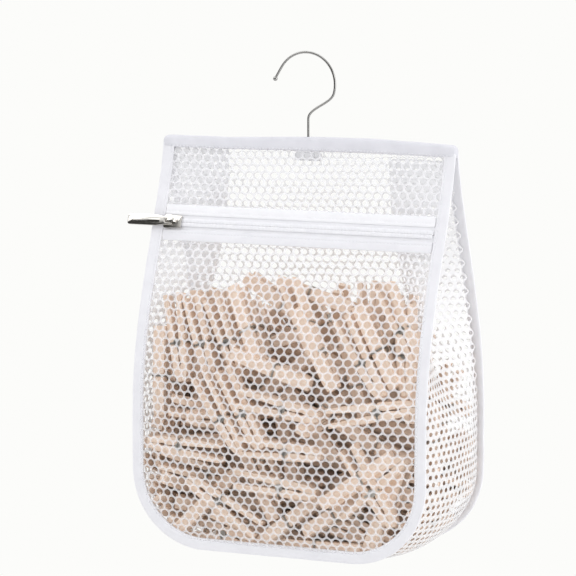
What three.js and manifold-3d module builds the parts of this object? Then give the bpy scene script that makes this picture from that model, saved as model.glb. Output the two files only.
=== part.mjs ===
// Hanging net peg bag with a swivel wire hook, a zip across its front and clothes pegs inside.
// Millimetres. +Z is up, the zip side faces -Y. The origin is where the hook rests on a rail.

import * as THREE from 'three';
import { mergeVertices } from 'three/addons/utils/BufferGeometryUtils.js';
import Module from 'manifold-3d';

// Gaps between pieces
const seatGap = 0.3;
const runningGap = 0.4;
const facetGap = 0.3;
const overrun = 2;
const weldDistance = 0.001;

// Bag body
const bagWidth = 250;
const bagHeight = 325;
const cornerRadius = 59;
const gussetWidth = 116;
const topSpread = 6;
const openDepth = 223;
const spreadPowerShare = 1.3;
const clothThickness = 0.6;
const frontCrown = 20;
const backCrown = 8;
const gussetCrown = 8;
const crownPowerShare = 0.8;
const netOpeningsAcross = 10;
const netWeb = 6;
const netRowPitch = 23;
const netLastShare = 0.75;
const pleatRoll = 0.9;
const pleatRollShare = 0.98;

// Seam bindings
const bindingWidth = 10;
const bindingThickness = 2;
const bindingEdgeShare = 0.55;
const bindingFlatShare = 0.75;

// Hem sleeve and the bar inside it
const hemHeight = 10;
const hemWall = 0.8;
const hemCornerRadius = 1.6;
const barEndGap = 2.5;
const barHeight = 7.4;
const bossWidth = 22;
const bossHeight = 6.5;
const bossCornerRadius = 1.5;
const windowWidth = 7.2;
const windowHeight = 3;
const windowRoof = 1.2;

// Wire hook
const wireRadius = 1.15;
const hookRadius = 25.5;
const hookOffset = 2;
const stemHeight = 17;
const hookCentreHeight = 44.7;
const tipBallRadius = 1.9;
const tipOut = 27.5;
const tipRise = 3.6;
const hookStartAngle = -16;
const hookEndAngle = 148;
const hookBendShare = 0.34;
const hookSteps = 52;
const headRadius = 2.15;
const headThickness = 1.5;

// Zip
const zipDepth = 69.5;
const tapeWidth = 14;
const tapeThickness = 0.6;
const coilWidth = 2.6;
const coilThickness = 1.6;
const neckThickness = 0.6;
const coilRidges = 32;
const ridgeDepth = 0.25;

// Zip slider and its puller
const sliderLength = 16;
const sliderWideHalf = 5.6;
const sliderNarrowHalf = 4.9;
const sliderPlate = 1.2;
const sliderFlange = 1.1;
const sliderNoseShare = 0.36;
const sliderShoulderShare = 0.5;
const sliderTailShare = 0.2;
const sliderWaistShare = 0.3;
const neckLengthShare = 0.3;
const bridgeLength = 9;
const bridgeWidth = 2.4;
const bridgeRoof = 1.1;
const bridgeOpening = 3.2;
const bridgeLeg = 1.3;
const bridgeTaper = 1;
const pullerLength = 39.8;
const pullerWidth = 9.2;
const pullerThickness = 1.4;
const pullerRidge = 0.9;
const pullerRidgeHalf = 3.7;
const pullerNeckLength = 8.3;
const pullerWaistHalf = 3.9;
const pullerEndRound = 2.3;
const eyeArm = 1.5;
const eyeBar = 1.5;

// Pegs
const pegLength = 72;
const pegWidth = 10;
const pegHandleHalf = 7.6;
const pegTipHalf = 3.4;
const pegCoilRadius = 3.3;
const pegCoilShare = 0.06;
const pegWire = 0.9;
const pegJawGap = 0.3;
const pileTopDepth = 112;
const pileCentreRise = 14;
const pileStart = 17;
const pileRestStep = 0.1;
const pileMaxPegs = 17;
const pegGripShare = 0.9;
const pegWireWidth = 1.44;
const pileTries = 26;

// Colours and finishes of the pieces
const whiteCloth = new THREE.MeshStandardMaterial({ color: '#eeedf4', roughness: 0.85, metalness: 0 });
const whiteTape = new THREE.MeshStandardMaterial({ color: '#e9e8f0', roughness: 0.75, metalness: 0 });
const whitePlastic = new THREE.MeshStandardMaterial({ color: '#efeff1', roughness: 0.45, metalness: 0 });
const steelWire = new THREE.MeshStandardMaterial({ color: '#9a9ba0', roughness: 0.25, metalness: 1 });
const nickel = new THREE.MeshStandardMaterial({ color: '#b4b0ac', roughness: 0.22, metalness: 1 });
const beech = new THREE.MeshStandardMaterial({ color: '#e6cdb0', roughness: 0.6, metalness: 0 });

const manifold = await Module();
manifold.setup();

// Turns a closed geometry into a solid that can be joined and cut.
function solidOf(geometry) {
  const bare = geometry.clone();
  bare.deleteAttribute('normal');
  bare.deleteAttribute('uv');
  const merged = mergeVertices(bare, weldDistance);
  return new manifold.Manifold(new manifold.Mesh({
    numProp: 3,
    vertProperties: new Float32Array(merged.attributes.position.array),
    triVerts: new Uint32Array(merged.index.array),
  }));
}

function geometryOf(solid) {
  const mesh = solid.getMesh();
  const geometry = new THREE.BufferGeometry();
  geometry.setAttribute('position', new THREE.BufferAttribute(new Float32Array(mesh.vertProperties), 3));
  geometry.setIndex(new THREE.BufferAttribute(new Uint32Array(mesh.triVerts), 1));
  geometry.computeVertexNormals();
  return geometry;
}

function joined(...geometries) {
  return geometries.map(solidOf).reduce((whole, piece) => whole.add(piece));
}

function named(name, geometry, material) {
  const mesh = new THREE.Mesh(geometry, material);
  mesh.name = name;
  return mesh;
}

function box(width, depth, height, x, y, z) {
  return new THREE.BoxGeometry(width, depth, height).translate(x, y, z);
}

// A flat outline in X and Z, thickened towards the front from one depth to another.
function upright(shape, from, to) {
  const settings = { depth: to - from, bevelEnabled: false, curveSegments: 4 };
  return new THREE.ExtrudeGeometry(shape, settings).translate(0, 0, from).rotateX(Math.PI / 2);
}

function roundedRectangle(width, height, radius) {
  const x = width / 2;
  const y = height / 2;
  const shape = new THREE.Shape();
  shape.absarc(x - radius, y - radius, radius, 0, Math.PI / 2);
  shape.absarc(-x + radius, y - radius, radius, Math.PI / 2, Math.PI);
  shape.absarc(-x + radius, -y + radius, radius, Math.PI, Math.PI * 1.5);
  shape.absarc(x - radius, -y + radius, radius, Math.PI * 1.5, Math.PI * 2);
  return shape;
}

// A closed body from rows of points: the rows run along it, and each row is a ring of the same count.
function sweptSolid(rings) {
  const count = rings[0].length;
  const points = rings.flat();
  const index = [];
  for (let i = 0; i < rings.length - 1; i++) {
    for (let j = 0; j < count; j++) {
      const a = i * count + j;
      const b = i * count + (j + 1) % count;
      index.push(a, b, b + count, a, b + count, a + count);
    }
  }
  const last = (rings.length - 1) * count;
  for (let j = 1; j < count - 1; j++) {
    index.push(0, j + 1, j);
    index.push(last, last + j, last + j + 1);
  }
  return bodyFrom(points, index);
}

// A sheet with a thickness, from a grid of points on its middle surface. Open cells are left out of it.
function sheetSolid(grid, thickness, isOpen = () => false) {
  const rows = grid.length;
  const columns = grid[0].length;
  const front = [];
  const back = [];
  for (let i = 0; i < rows; i++) {
    for (let j = 0; j < columns; j++) {
      const along = grid[Math.min(i + 1, rows - 1)][j].clone().sub(grid[Math.max(i - 1, 0)][j]);
      const across = grid[i][Math.min(j + 1, columns - 1)].clone().sub(grid[i][Math.max(j - 1, 0)]);
      const normal = along.cross(across).normalize().multiplyScalar(thickness / 2);
      front.push(grid[i][j].clone().add(normal));
      back.push(grid[i][j].clone().sub(normal));
    }
  }
  const index = [];
  const shift = rows * columns;
  const at = (i, j) => i * columns + j;
  const quad = (a, b, c, d) => index.push(a, b, c, a, c, d);
  const wall = (a, b) => quad(b, a, shift + a, shift + b);
  for (let i = 0; i < rows - 1; i++) {
    for (let j = 0; j < columns - 1; j++) {
      if (isOpen(i, j)) {
        wall(at(i, j), at(i, j + 1));
        wall(at(i, j + 1), at(i + 1, j + 1));
        wall(at(i + 1, j + 1), at(i + 1, j));
        wall(at(i + 1, j), at(i, j));
        continue;
      }
      quad(at(i, j), at(i + 1, j), at(i + 1, j + 1), at(i, j + 1));
      quad(shift + at(i, j), shift + at(i, j + 1), shift + at(i + 1, j + 1), shift + at(i + 1, j));
    }
  }
  for (let i = 0; i < rows - 1; i++) {
    wall(at(i, 0), at(i + 1, 0));
    wall(at(i + 1, columns - 1), at(i, columns - 1));
  }
  for (let j = 0; j < columns - 1; j++) {
    wall(at(0, j + 1), at(0, j));
    wall(at(rows - 1, j), at(rows - 1, j + 1));
  }
  return bodyFrom([...front, ...back], index);
}

// Builds the geometry, and turns its faces round when they point inwards.
function bodyFrom(points, index) {
  const geometry = new THREE.BufferGeometry();
  const corners = points.flatMap((p) => [p.x, p.y, p.z]);
  geometry.setAttribute('position', new THREE.Float32BufferAttribute(corners, 3));
  let volume = 0;
  for (let i = 0; i < index.length; i += 3) {
    volume += points[index[i]].clone().cross(points[index[i + 1]]).dot(points[index[i + 2]]);
  }
  geometry.setIndex(volume > 0 ? index : index.reverse());
  geometry.computeVertexNormals();
  return geometry;
}

// How far apart the front and back seams are at a height below the hem's top.
function spread(z) {
  const share = Math.min(Math.max((-z - hemHeight) / (openDepth - hemHeight), 0), 1);
  return topSpread + (gussetWidth - topSpread) * Math.sin(share * Math.PI / 2) ** spreadPowerShare;
}

// Half of the width between the side seams, less an inset that is square to the seam.
function halfWidth(z, inset) {
  const below = cornerRadius - bagHeight - z;
  const side = bagWidth / 2;
  const radius = cornerRadius - inset;
  return below <= 0 ? side - inset : side - cornerRadius + Math.sqrt(Math.max(radius ** 2 - below ** 2, 0));
}

// How deep the gusset folds inwards, where the seams are closer than it is wide.
function pleatDepth(z) {
  return Math.sqrt(Math.max((gussetWidth / 2) ** 2 - (spread(z) / 2) ** 2, 0));
}

// Middle surface of the front (side -1) or back (side 1) panel. The cloth swells below the zip.
const crownTop = zipDepth + tapeWidth + bindingWidth / 2;
const seamInset = bindingWidth / 2 + seatGap;
function panelPoint(side, crown, acrossShare, z, inward = 0) {
  const half = halfWidth(z, seamInset);
  const depthShare = Math.min(Math.max((-z - crownTop) / (bagHeight - crownTop), 0), 1);
  const swell = crown * (1 - acrossShare ** 2) * Math.sin(Math.PI * depthShare) ** crownPowerShare;
  return new THREE.Vector3(acrossShare * half, side * (spread(z) / 2 + swell - inward), z);
}

function panelGrid(side, crown, depths, shares, inward = 0) {
  return depths.map((depth) => shares.map((share) => panelPoint(side, crown, share, -depth, inward)));
}

function evenDepths(from, to, steps) {
  return Array.from({ length: steps + 1 }, (_, i) => from + (to - from) * i / steps);
}

// The edges of a row of openings: a web's edge, then by turns the start and the end of an opening.
function webEdges(from, to, openings, web) {
  const pitch = (to - from - web) / openings;
  const edges = [from];
  for (let i = 0; i < openings; i++) {
    edges.push(from + web + pitch * i, from + pitch * (i + 1));
  }
  return [...edges, to];
}

// A panel is a coarse net: its openings lie in rows, between webs of the same width.
function netPanel(side, crown, runs) {
  const depths = runs.map((run) => {
    const past = Math.max(run - bagHeight + cornerRadius, 0) / (cornerRadius - seamInset);
    return past > 0 ? bagHeight - cornerRadius + (cornerRadius - seamInset) * Math.sin(past) : run;
  });
  const shares = webEdges(-1, 1, netOpeningsAcross, 2 * netWeb / bagWidth);
  const isOpen = (i, j) => i % 2 === 1 && j % 2 === 1 && i < runs.length - 1 && j < shares.length - 1;
  return sheetSolid(panelGrid(side, crown, depths, shares), clothThickness, isOpen);
}

// Runs of a panel's rows, counted down to a depth, or on round the corner to a share of its arc.
function netRuns(from, to) {
  return webEdges(from, to, Math.max(Math.round((to - from) / netRowPitch), 1), netWeb);
}

// The rows of a panel that ends at the bottom seam. Its last web fills what the openings leave.
function netRunsToBottom(from) {
  const cornerStart = bagHeight - cornerRadius;
  const arc = (cornerRadius - seamInset) * Math.PI / 2;
  const last = cornerStart + arc * netLastShare;
  const steps = evenDepths(last, cornerStart + arc, 4).slice(1);
  return [...netRuns(from, last), ...steps];
}

// Stations down the left seam, round the bottom and up the right seam, with the outward direction.
function seamStations(topZ, sideSteps, cornerSteps, bottomSteps) {
  const stations = [];
  const side = bagWidth / 2;
  const cornerZ = cornerRadius - bagHeight;
  for (let i = 0; i < sideSteps; i++) {
    stations.push({ x: -side, z: topZ + (cornerZ - topZ) * i / sideSteps, out: [-1, 0] });
  }
  for (let i = 0; i <= cornerSteps; i++) {
    const angle = Math.PI + Math.PI / 2 * i / cornerSteps;
    const out = [Math.cos(angle), Math.sin(angle)];
    const x = cornerRadius - side + cornerRadius * out[0];
    stations.push({ x, z: cornerZ + cornerRadius * out[1], out });
  }
  for (let i = 1; i <= bottomSteps / 2; i++) {
    stations.push({ x: (cornerRadius - side) * (1 - 2 * i / bottomSteps), z: -bagHeight, out: [0, -1] });
  }
  const mirror = (s) => ({ x: -s.x, z: s.z, out: [-s.out[0], s.out[1]] });
  return [...stations, ...stations.slice(0, -1).reverse().map(mirror)];
}

function seamBinding(side) {
  const stations = seamStations(0, 12, 12, 2);
  const half = bindingWidth / 2;
  const edge = bindingThickness / 2 * bindingEdgeShare;
  const face = bindingThickness / 2;
  const flat = half * bindingFlatShare;
  const section = [[-half, -edge], [-flat, -face], [flat, -face], [half, -edge],
    [half, edge], [flat, face], [-flat, face], [-half, edge]];
  const centre = (s) => new THREE.Vector3(s.x, side * spread(s.z) / 2, s.z);
  const rings = stations.map((s, i) => {
    const before = centre(stations[Math.max(i - 1, 0)]);
    const after = centre(stations[Math.min(i + 1, stations.length - 1)]);
    const along = after.sub(before).normalize();
    const out = new THREE.Vector3(s.out[0], 0, s.out[1]);
    const through = along.clone().cross(out).normalize();
    return section.map(([u, v]) => centre(s).addScaledVector(out, u).addScaledVector(through, v));
  });
  return sweptSolid(rings);
}

// The strip between the two panels. It folds inwards at the top and swells outwards at the bottom.
const flapShares = [0, 0.25, 0.6, 1];
function sideGusset() {
  const inset = bindingThickness / 2 + seatGap + facetGap + clothThickness / 2;
  const grid = seamStations(-hemHeight - seatGap, 13, 9, 6).map((s) => {
    const half = spread(s.z) / 2 - inset;
    const fold = pleatDepth(s.z);
    const swell = gussetCrown * (spread(s.z) / gussetWidth) ** 4;
    const roll = Math.max(pleatRoll, half * (1 - pleatRollShare));
    const flap = flapShares.map((share) => ({
      y: -half + (half - roll) * share,
      inward: fold * pleatRollShare * share,
    }));
    const otherFlap = flap.map((p) => ({ y: -p.y, inward: p.inward })).reverse();
    const profile = [...flap, { y: 0, inward: fold }, ...otherFlap];
    return profile.map((p) => {
      const outward = swell * (1 - (p.y / half) ** 2) - p.inward;
      return new THREE.Vector3(s.x + s.out[0] * outward, p.y, s.z + s.out[1] * outward);
    });
  });
  return sheetSolid(grid, clothThickness);
}

// Sleeve of the top hem, open at both ends, with a hole for the hook's stem and a slot for the boss.
const hemHalf = (topSpread + clothThickness) / 2;
const hemLength = bagWidth - bindingWidth - 2 * seatGap;
function topHem() {
  const outline = roundedRectangle(hemHalf * 2, hemHeight, hemCornerRadius);
  const inside = [(hemHalf - hemWall) * 2, hemHeight - 2 * hemWall, hemCornerRadius - hemWall];
  outline.holes.push(roundedRectangle(...inside));
  const settings = { depth: hemLength, bevelEnabled: false, curveSegments: 3 };
  const sleeve = new THREE.ExtrudeGeometry(outline, settings).translate(0, 0, -hemLength / 2);
  sleeve.applyMatrix4(new THREE.Matrix4().makeBasis(
    new THREE.Vector3(0, 1, 0), new THREE.Vector3(0, 0, 1), new THREE.Vector3(1, 0, 0)));
  sleeve.translate(0, 0, -hemHeight / 2);
  const holeRadius = wireRadius + seatGap;
  const stemHole = new THREE.CylinderGeometry(holeRadius, holeRadius, hemWall + overrun, 12);
  stemHole.rotateX(Math.PI / 2).translate(0, 0, -hemWall / 2);
  const slotWidth = bossWidth + 2 * seatGap;
  const slot = box(slotWidth, (barHalf + seatGap) * 2, hemWall + overrun, 0, 0, -hemHeight + hemWall / 2);
  return geometryOf(solidOf(sleeve).subtract(solidOf(stemHole)).subtract(solidOf(slot)));
}

// Stiff bar inside the hem. The boss under its middle holds the head of the hook's stem.
const barHalf = hemHalf - hemWall - seatGap;
const barTop = -hemWall - seatGap;
const bossTop = -hemHeight - seatGap;
const windowTop = bossTop - windowRoof;
function hangerBar() {
  const barLength = hemLength - 2 * barEndGap;
  const bar = roundedRectangle(barLength, barHeight, barHeight / 2 - seatGap);
  const barBody = upright(bar, -barHalf, barHalf).translate(0, 0, barTop - barHeight / 2);
  const neckHeight = barTop - bossTop + overrun;
  const neck = box(bossWidth - bossCornerRadius * 2, barHalf * 2, neckHeight, 0, 0, barTop - neckHeight / 2);
  const boss = roundedRectangle(bossWidth, bossHeight, bossCornerRadius);
  const bossBody = upright(boss, -barHalf, barHalf).translate(0, 0, bossTop - bossHeight / 2);
  const opening = box(windowWidth, barHalf * 2 + overrun, windowHeight, 0, 0, windowTop - windowHeight / 2);
  const boreLength = barTop - windowTop + overrun;
  const bore = new THREE.CylinderGeometry(wireRadius + seatGap, wireRadius + seatGap, boreLength, 16);
  bore.rotateX(Math.PI / 2).translate(0, 0, barTop + overrun / 2 - boreLength / 2 + seatGap);
  return geometryOf(joined(barBody, neck, bossBody).subtract(solidOf(opening)).subtract(solidOf(bore)));
}

// Bent wire hook: straight stem, a swept bend out to the round crown, and a leg that ends in a ball.
const crownHeight = hookCentreHeight + hookRadius - wireRadius;
function hookWire() {
  const at = (x, z) => new THREE.Vector3(x, 0, z);
  const onRing = (degrees) => {
    const angle = THREE.MathUtils.degToRad(degrees);
    return at(hookRadius * Math.cos(angle) - hookOffset, hookCentreHeight + hookRadius * Math.sin(angle));
  };
  const headTop = windowTop - seatGap;
  const start = onRing(hookStartAngle);
  const end = onRing(hookEndAngle);
  const startAngle = THREE.MathUtils.degToRad(hookStartAngle);
  const endAngle = THREE.MathUtils.degToRad(hookEndAngle);
  const reach = hookRadius * hookBendShare;
  const tip = at(-hookOffset - tipOut, hookCentreHeight + tipRise);
  const ringPoints = [];
  const ringSteps = 16;
  for (let i = 0; i <= ringSteps; i++) {
    ringPoints.push(onRing(hookStartAngle + (hookEndAngle - hookStartAngle) * i / ringSteps));
  }
  const route = new THREE.CurvePath();
  route.add(new THREE.LineCurve3(at(0, headTop - headThickness), at(0, stemHeight)));
  route.add(new THREE.CubicBezierCurve3(
    at(0, stemHeight),
    at(0, stemHeight + reach),
    at(start.x + reach * Math.sin(startAngle), start.z - reach * Math.cos(startAngle)),
    start));
  route.add(new THREE.CatmullRomCurve3(ringPoints));
  route.add(new THREE.QuadraticBezierCurve3(
    end,
    at(end.x - reach * Math.sin(endAngle), end.z + reach * Math.cos(endAngle)),
    tip));
  const circle = new THREE.Shape().absarc(0, 0, wireRadius, 0, Math.PI * 2);
  const tube = new THREE.ExtrudeGeometry(circle, { steps: hookSteps, curveSegments: 5, extrudePath: route });
  const ball = new THREE.SphereGeometry(tipBallRadius, 10, 7).translate(tip.x, 0, tip.z);
  const head = new THREE.CylinderGeometry(headRadius, headRadius, headThickness, 14);
  head.rotateX(Math.PI / 2).translate(0, 0, headTop - headThickness / 2);
  return geometryOf(joined(tube, ball, head));
}

// Zip layers, counted outwards from the middle of the front cloth.
const tapeMiddle = -(clothThickness / 2 + seatGap + tapeThickness / 2);
const coilBack = tapeMiddle + tapeThickness / 2 + seatGap;
const coilFront = coilBack + coilThickness;
const plateBack = coilFront + runningGap;
const plateFront = plateBack + sliderPlate;
const underFront = tapeMiddle - tapeThickness / 2 - runningGap;
const coilStart = neckThickness / 2 + runningGap;
const clothEdge = sliderWideHalf + runningGap;

const zipSlope = (spread(-zipDepth - overrun) - spread(-zipDepth + overrun)) / (4 * overrun);
const zipTilt = Math.atan(zipSlope);
const clothEdgeDepth = clothEdge * Math.cos(zipTilt);
const tapeReach = tapeWidth * Math.cos(zipTilt);
const zipHalfLength = bagWidth / 2 - bindingWidth / 2 - 2 * seatGap;

function zipTape(direction) {
  const near = zipDepth - direction * coilStart * Math.cos(zipTilt);
  const far = zipDepth - direction * tapeReach;
  const depths = evenDepths(Math.min(near, far), Math.max(near, far), 3);
  const grid = panelGrid(-1, 0, depths, evenDepths(-1, 1, 4), -tapeMiddle / Math.cos(zipTilt));
  return sheetSolid(grid, tapeThickness);
}

// One half of the chain: a bar with a ridge for every few turns of its coil.
function zipCoil(direction) {
  const low = direction * coilStart;
  const high = direction * (coilStart + coilWidth);
  const middle = (coilFront + coilBack) / 2;
  const rings = [];
  const steps = coilRidges * 2;
  for (let i = 0; i <= steps; i++) {
    const x = -zipHalfLength + 2 * zipHalfLength * i / steps;
    const front = coilFront - (i % 2) * ridgeDepth;
    rings.push([[low, coilBack], [high, coilBack], [high, middle], [(low + high) / 2, front], [low, middle]]
      .map(([v, w]) => new THREE.Vector3(x, -w, v)));
  }
  return sweptSolid(rings);
}

// Outline of the slider seen from the front: wide shoulders on the left, narrower on the right.
function sliderOutline(inset) {
  const left = -sliderLength / 2 + inset;
  const right = sliderLength / 2 - inset;
  const waist = left + sliderLength * sliderNoseShare;
  const wide = sliderWideHalf - inset;
  const narrow = sliderNarrowHalf - inset;
  const shape = new THREE.Shape();
  const shoulder = wide * sliderShoulderShare;
  const tail = narrow * sliderTailShare;
  shape.moveTo(left, -wide + shoulder);
  shape.quadraticCurveTo(left, -wide, left + shoulder, -wide);
  shape.lineTo(waist, -wide);
  shape.quadraticCurveTo(waist + wide * sliderWaistShare, -narrow, right - tail, -narrow);
  shape.quadraticCurveTo(right, -narrow, right, -narrow + tail);
  shape.lineTo(right, narrow - tail);
  shape.quadraticCurveTo(right, narrow, right - tail, narrow);
  shape.quadraticCurveTo(waist + wide * sliderWaistShare, narrow, waist, wide);
  shape.lineTo(left + shoulder, wide);
  shape.quadraticCurveTo(left, wide, left, wide - shoulder);
  return shape;
}

const pinHeight = plateFront + bridgeOpening / 2;
function sliderBody() {
  const front = solidOf(upright(sliderOutline(0), plateBack, plateFront));
  const under = solidOf(upright(sliderOutline(0), underFront - sliderPlate, underFront));
  const flangeBack = tapeMiddle + tapeThickness / 2 + runningGap;
  const rim = solidOf(upright(sliderOutline(0), flangeBack, plateBack + sliderPlate / 2));
  const channelHalf = sliderNarrowHalf - sliderFlange;
  const channel = solidOf(box(sliderLength + overrun, plateFront * 2, channelHalf * 2, 0, 0, 0));
  const keepY = -plateBack - plateFront / 2;
  const channelKeep = solidOf(box(sliderLength + overrun, plateFront, sliderWideHalf * 2, 0, keepY, 0));
  const flanges = rim.subtract(channel.subtract(channelKeep));
  const neckLength = sliderLength * neckLengthShare;
  const neckDepth = plateBack - underFront + sliderPlate;
  const neck = solidOf(box(neckLength, neckDepth, neckThickness,
    -sliderLength / 2 + neckLength / 2 + neckThickness, -(plateBack + underFront) / 2, 0));
  const arch = new THREE.Shape();
  const half = bridgeLength / 2;
  const top = bridgeOpening + bridgeRoof;
  arch.moveTo(-half, -sliderPlate / 2);
  arch.lineTo(half, -sliderPlate / 2);
  arch.quadraticCurveTo(half, top, half - bridgeLeg - bridgeTaper, top);
  arch.lineTo(-half + bridgeLeg + bridgeTaper, top);
  arch.quadraticCurveTo(-half, top, -half, -sliderPlate / 2);
  const gap = new THREE.Path();
  gap.moveTo(-half + bridgeLeg, 0);
  gap.lineTo(-half + bridgeLeg + bridgeTaper, bridgeOpening);
  gap.lineTo(half - bridgeLeg - bridgeTaper, bridgeOpening);
  gap.lineTo(half - bridgeLeg, 0);
  arch.holes.push(gap);
  const settings = { depth: bridgeWidth, bevelEnabled: false, curveSegments: 5 };
  const bridge = new THREE.ExtrudeGeometry(arch, settings).translate(0, plateFront, -bridgeWidth / 2);
  bridge.rotateX(Math.PI);
  return geometryOf(front.add(under).add(flanges).add(neck).add(solidOf(bridge)));
}

// Puller: an eye round the slider's bridge and a long tab with a ridge down its middle.
function pullerBody() {
  const eyeInside = bridgeWidth / 2 + runningGap;
  const eyeHalf = eyeInside + eyeArm;
  const eyeReach = bridgeLength / 2 + runningGap * 2;
  const eye = new THREE.Shape();
  eye.moveTo(eyeBar / 2, -eyeHalf);
  eye.lineTo(eyeBar / 2, eyeHalf);
  eye.lineTo(-eyeReach - eyeBar, eyeHalf);
  eye.lineTo(-eyeReach - eyeBar, -eyeHalf);
  const hole = new THREE.Path();
  hole.moveTo(-eyeBar / 2, -eyeInside);
  hole.lineTo(-eyeReach, -eyeInside);
  hole.lineTo(-eyeReach, eyeInside);
  hole.lineTo(-eyeBar / 2, eyeInside);
  eye.holes.push(hole);
  const half = pullerWidth / 2;
  const tab = new THREE.Shape();
  tab.moveTo(-eyeReach, -eyeHalf);
  tab.lineTo(-eyeReach, eyeHalf);
  const waistX = -eyeReach - pullerNeckLength / 2;
  tab.quadraticCurveTo(waistX, pullerWaistHalf, -eyeReach - pullerNeckLength, half);
  tab.lineTo(-pullerLength + pullerEndRound, half);
  tab.quadraticCurveTo(-pullerLength, half, -pullerLength, half - pullerEndRound);
  tab.lineTo(-pullerLength, -half + pullerEndRound);
  tab.quadraticCurveTo(-pullerLength, -half, -pullerLength + pullerEndRound, -half);
  tab.lineTo(-eyeReach - pullerNeckLength, -half);
  tab.quadraticCurveTo(waistX, -pullerWaistHalf, -eyeReach, -eyeHalf);
  const low = -pullerThickness / 2;
  const high = pullerThickness / 2;
  const flat = joined(upright(eye, low, high), upright(tab, low, high));
  const ridge = new THREE.Shape();
  ridge.moveTo(-pullerRidgeHalf, 0);
  ridge.lineTo(0, high + pullerRidge);
  ridge.lineTo(pullerRidgeHalf, 0);
  const ridgeLength = pullerLength - eyeReach - pullerWidth;
  const settings = { depth: ridgeLength, bevelEnabled: false };
  const crest = new THREE.ExtrudeGeometry(ridge, settings).applyMatrix4(new THREE.Matrix4().makeBasis(
    new THREE.Vector3(0, 0, 1), new THREE.Vector3(0, -1, 0), new THREE.Vector3(1, 0, 0)));
  crest.translate(-pullerLength + half, 0, 0);
  return geometryOf(flat.add(solidOf(crest)));
}

// One spring peg: two wooden jaws, gripped by a coiled steel spring. It lies along X, width along Y.
const jawShares = {
  outer: [[-0.5, 1.04], [0.03, 0.98], [0.04, 0.84], [0.08, 0.84], [0.09, 0.97], [0.38, 0.8]],
  inner: [[0.34, 0], [0.3, 0.14], [0.2, 0.02], [0.0, 0.2], [-0.5, 0.52]],
};
function pegBody() {
  const jaw = new THREE.Shape();
  const points = [];
  for (const [x, y] of jawShares.outer) {
    points.push([x * pegLength, y * pegHandleHalf]);
  }
  points.push([pegLength / 2, pegTipHalf]);
  points.push([pegLength / 2, pegJawGap / 2]);
  for (const [x, y] of jawShares.inner) {
    points.push([x * pegLength, pegJawGap / 2 + y * pegHandleHalf]);
  }
  points.forEach(([x, y], i) => (i === 0 ? jaw.moveTo(x, y) : jaw.lineTo(x, y)));
  const upper = upright(jaw, -pegWidth / 2, pegWidth / 2);
  const lower = upper.clone().rotateX(Math.PI);
  const coilX = pegCoilShare * pegLength;
  const coilLength = pegWidth + pegWire * 2;
  const coil = new THREE.CylinderGeometry(pegCoilRadius, pegCoilRadius, coilLength, 6).translate(coilX, 0, 0);
  const side = pegWidth / 2 + pegWire / 2;
  const gripHeight = pegHandleHalf * pegGripShare;
  const leg = box(pegWireWidth, pegWire, gripHeight, coilX, side, gripHeight / 2);
  const grip = box(pegWireWidth, pegWidth + pegWire * 2, pegWire, coilX, 0, gripHeight - pegWire / 2);
  const upperGrip = joined(leg, grip);
  const lowerGrip = joined(leg.clone().rotateX(Math.PI), grip.clone().rotateX(Math.PI));
  return joined(upper, lower, coil).add(upperGrip).add(lowerGrip);
}

// The same peg seen from its side, as the corners of the convex outline that the pile works with.
const pegHalfOutline = [[-0.5, 1.04], [0.09, 0.98], [0.38, 0.8], [0.5, 0.46]];
const pegOutline = [...pegHalfOutline, ...pegHalfOutline.map(([x, y]) => [x, -y]).reverse()]
  .map(([x, y]) => [x * pegLength, y * pegHandleHalf]);

// A repeatable run of numbers from 0 to 1, so that the pile is the same every time.
function numberRun(start) {
  let state = start;
  return () => {
    state = (state * 16807) % 2147483647;
    return state / 2147483647;
  };
}

function placedOutline(peg) {
  const cos = Math.cos(peg.angle);
  const sin = Math.sin(peg.angle);
  return pegOutline.map(([x, y]) => [peg.x + x * cos - y * sin, peg.s + x * sin + y * cos]);
}

// The distance between two convex outlines, or zero where they overlap.
function outlineGap(first, second) {
  let apart = false;
  let nearest = Infinity;
  for (const [edges, others] of [[first, second], [second, first]]) {
    for (let i = 0; i < edges.length; i++) {
      const start = new THREE.Vector2(...edges[i]);
      const along = new THREE.Vector2(...edges[(i + 1) % edges.length]).sub(start);
      const length = along.length();
      along.divideScalar(length);
      const offsets = others.map(([x, y]) => new THREE.Vector2(x, y).sub(start));
      apart ||= offsets.every((offset) => along.cross(offset) > 0);
      for (const offset of offsets) {
        const foot = Math.min(Math.max(offset.dot(along), 0), length);
        nearest = Math.min(nearest, offset.distanceTo(along.clone().multiplyScalar(foot)));
      }
    }
  }
  return apart ? nearest : 0;
}

// The pile lies in a flat layer behind the front panel, square to the line from zip to bottom seam.
const pileTop = -crownTop;
const pileLean = Math.atan((spread(-bagHeight) - spread(pileTop)) / 2 / (bagHeight + pileTop));
const pileInset = bindingThickness / 2 + clothThickness + 2 * seatGap + pegWidth / 2 + pegWire;
const layerBack = pegWidth / 2 + pegWire;
const pileHeight = (bagHeight + pileTop) / Math.cos(pileLean);
const pileWallGap = clothThickness / 2 + seatGap + facetGap;

// How far the gusset swells out beside the layer's front face, at a height s above the bottom seam.
function swellAt(s) {
  const open = spread(-bagHeight + s * Math.cos(pileLean));
  const faceY = spread(-bagHeight) / 2 - s * Math.sin(pileLean) - pileInset + pegWidth / 2;
  return gussetCrown * (open / gussetWidth) ** 4 * Math.max(1 - (2 * faceY / open) ** 2, 0);
}
const pileFloor = pileWallGap - swellAt(0);

// Half of the room across the layer at a height s above the bottom seam, inside the gusset's folds.
function layerHalf(s) {
  const z = -bagHeight + s * Math.cos(pileLean);
  const half = spread(z) / 2;
  const layerY = spread(-bagHeight) / 2 - s * Math.sin(pileLean) - pileInset - layerBack;
  const flap = pleatDepth(z) * Math.min(Math.max(1 - layerY / half, 0), 1);
  return halfWidth(z, pileWallGap - swellAt(s)) - flap;
}

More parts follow.
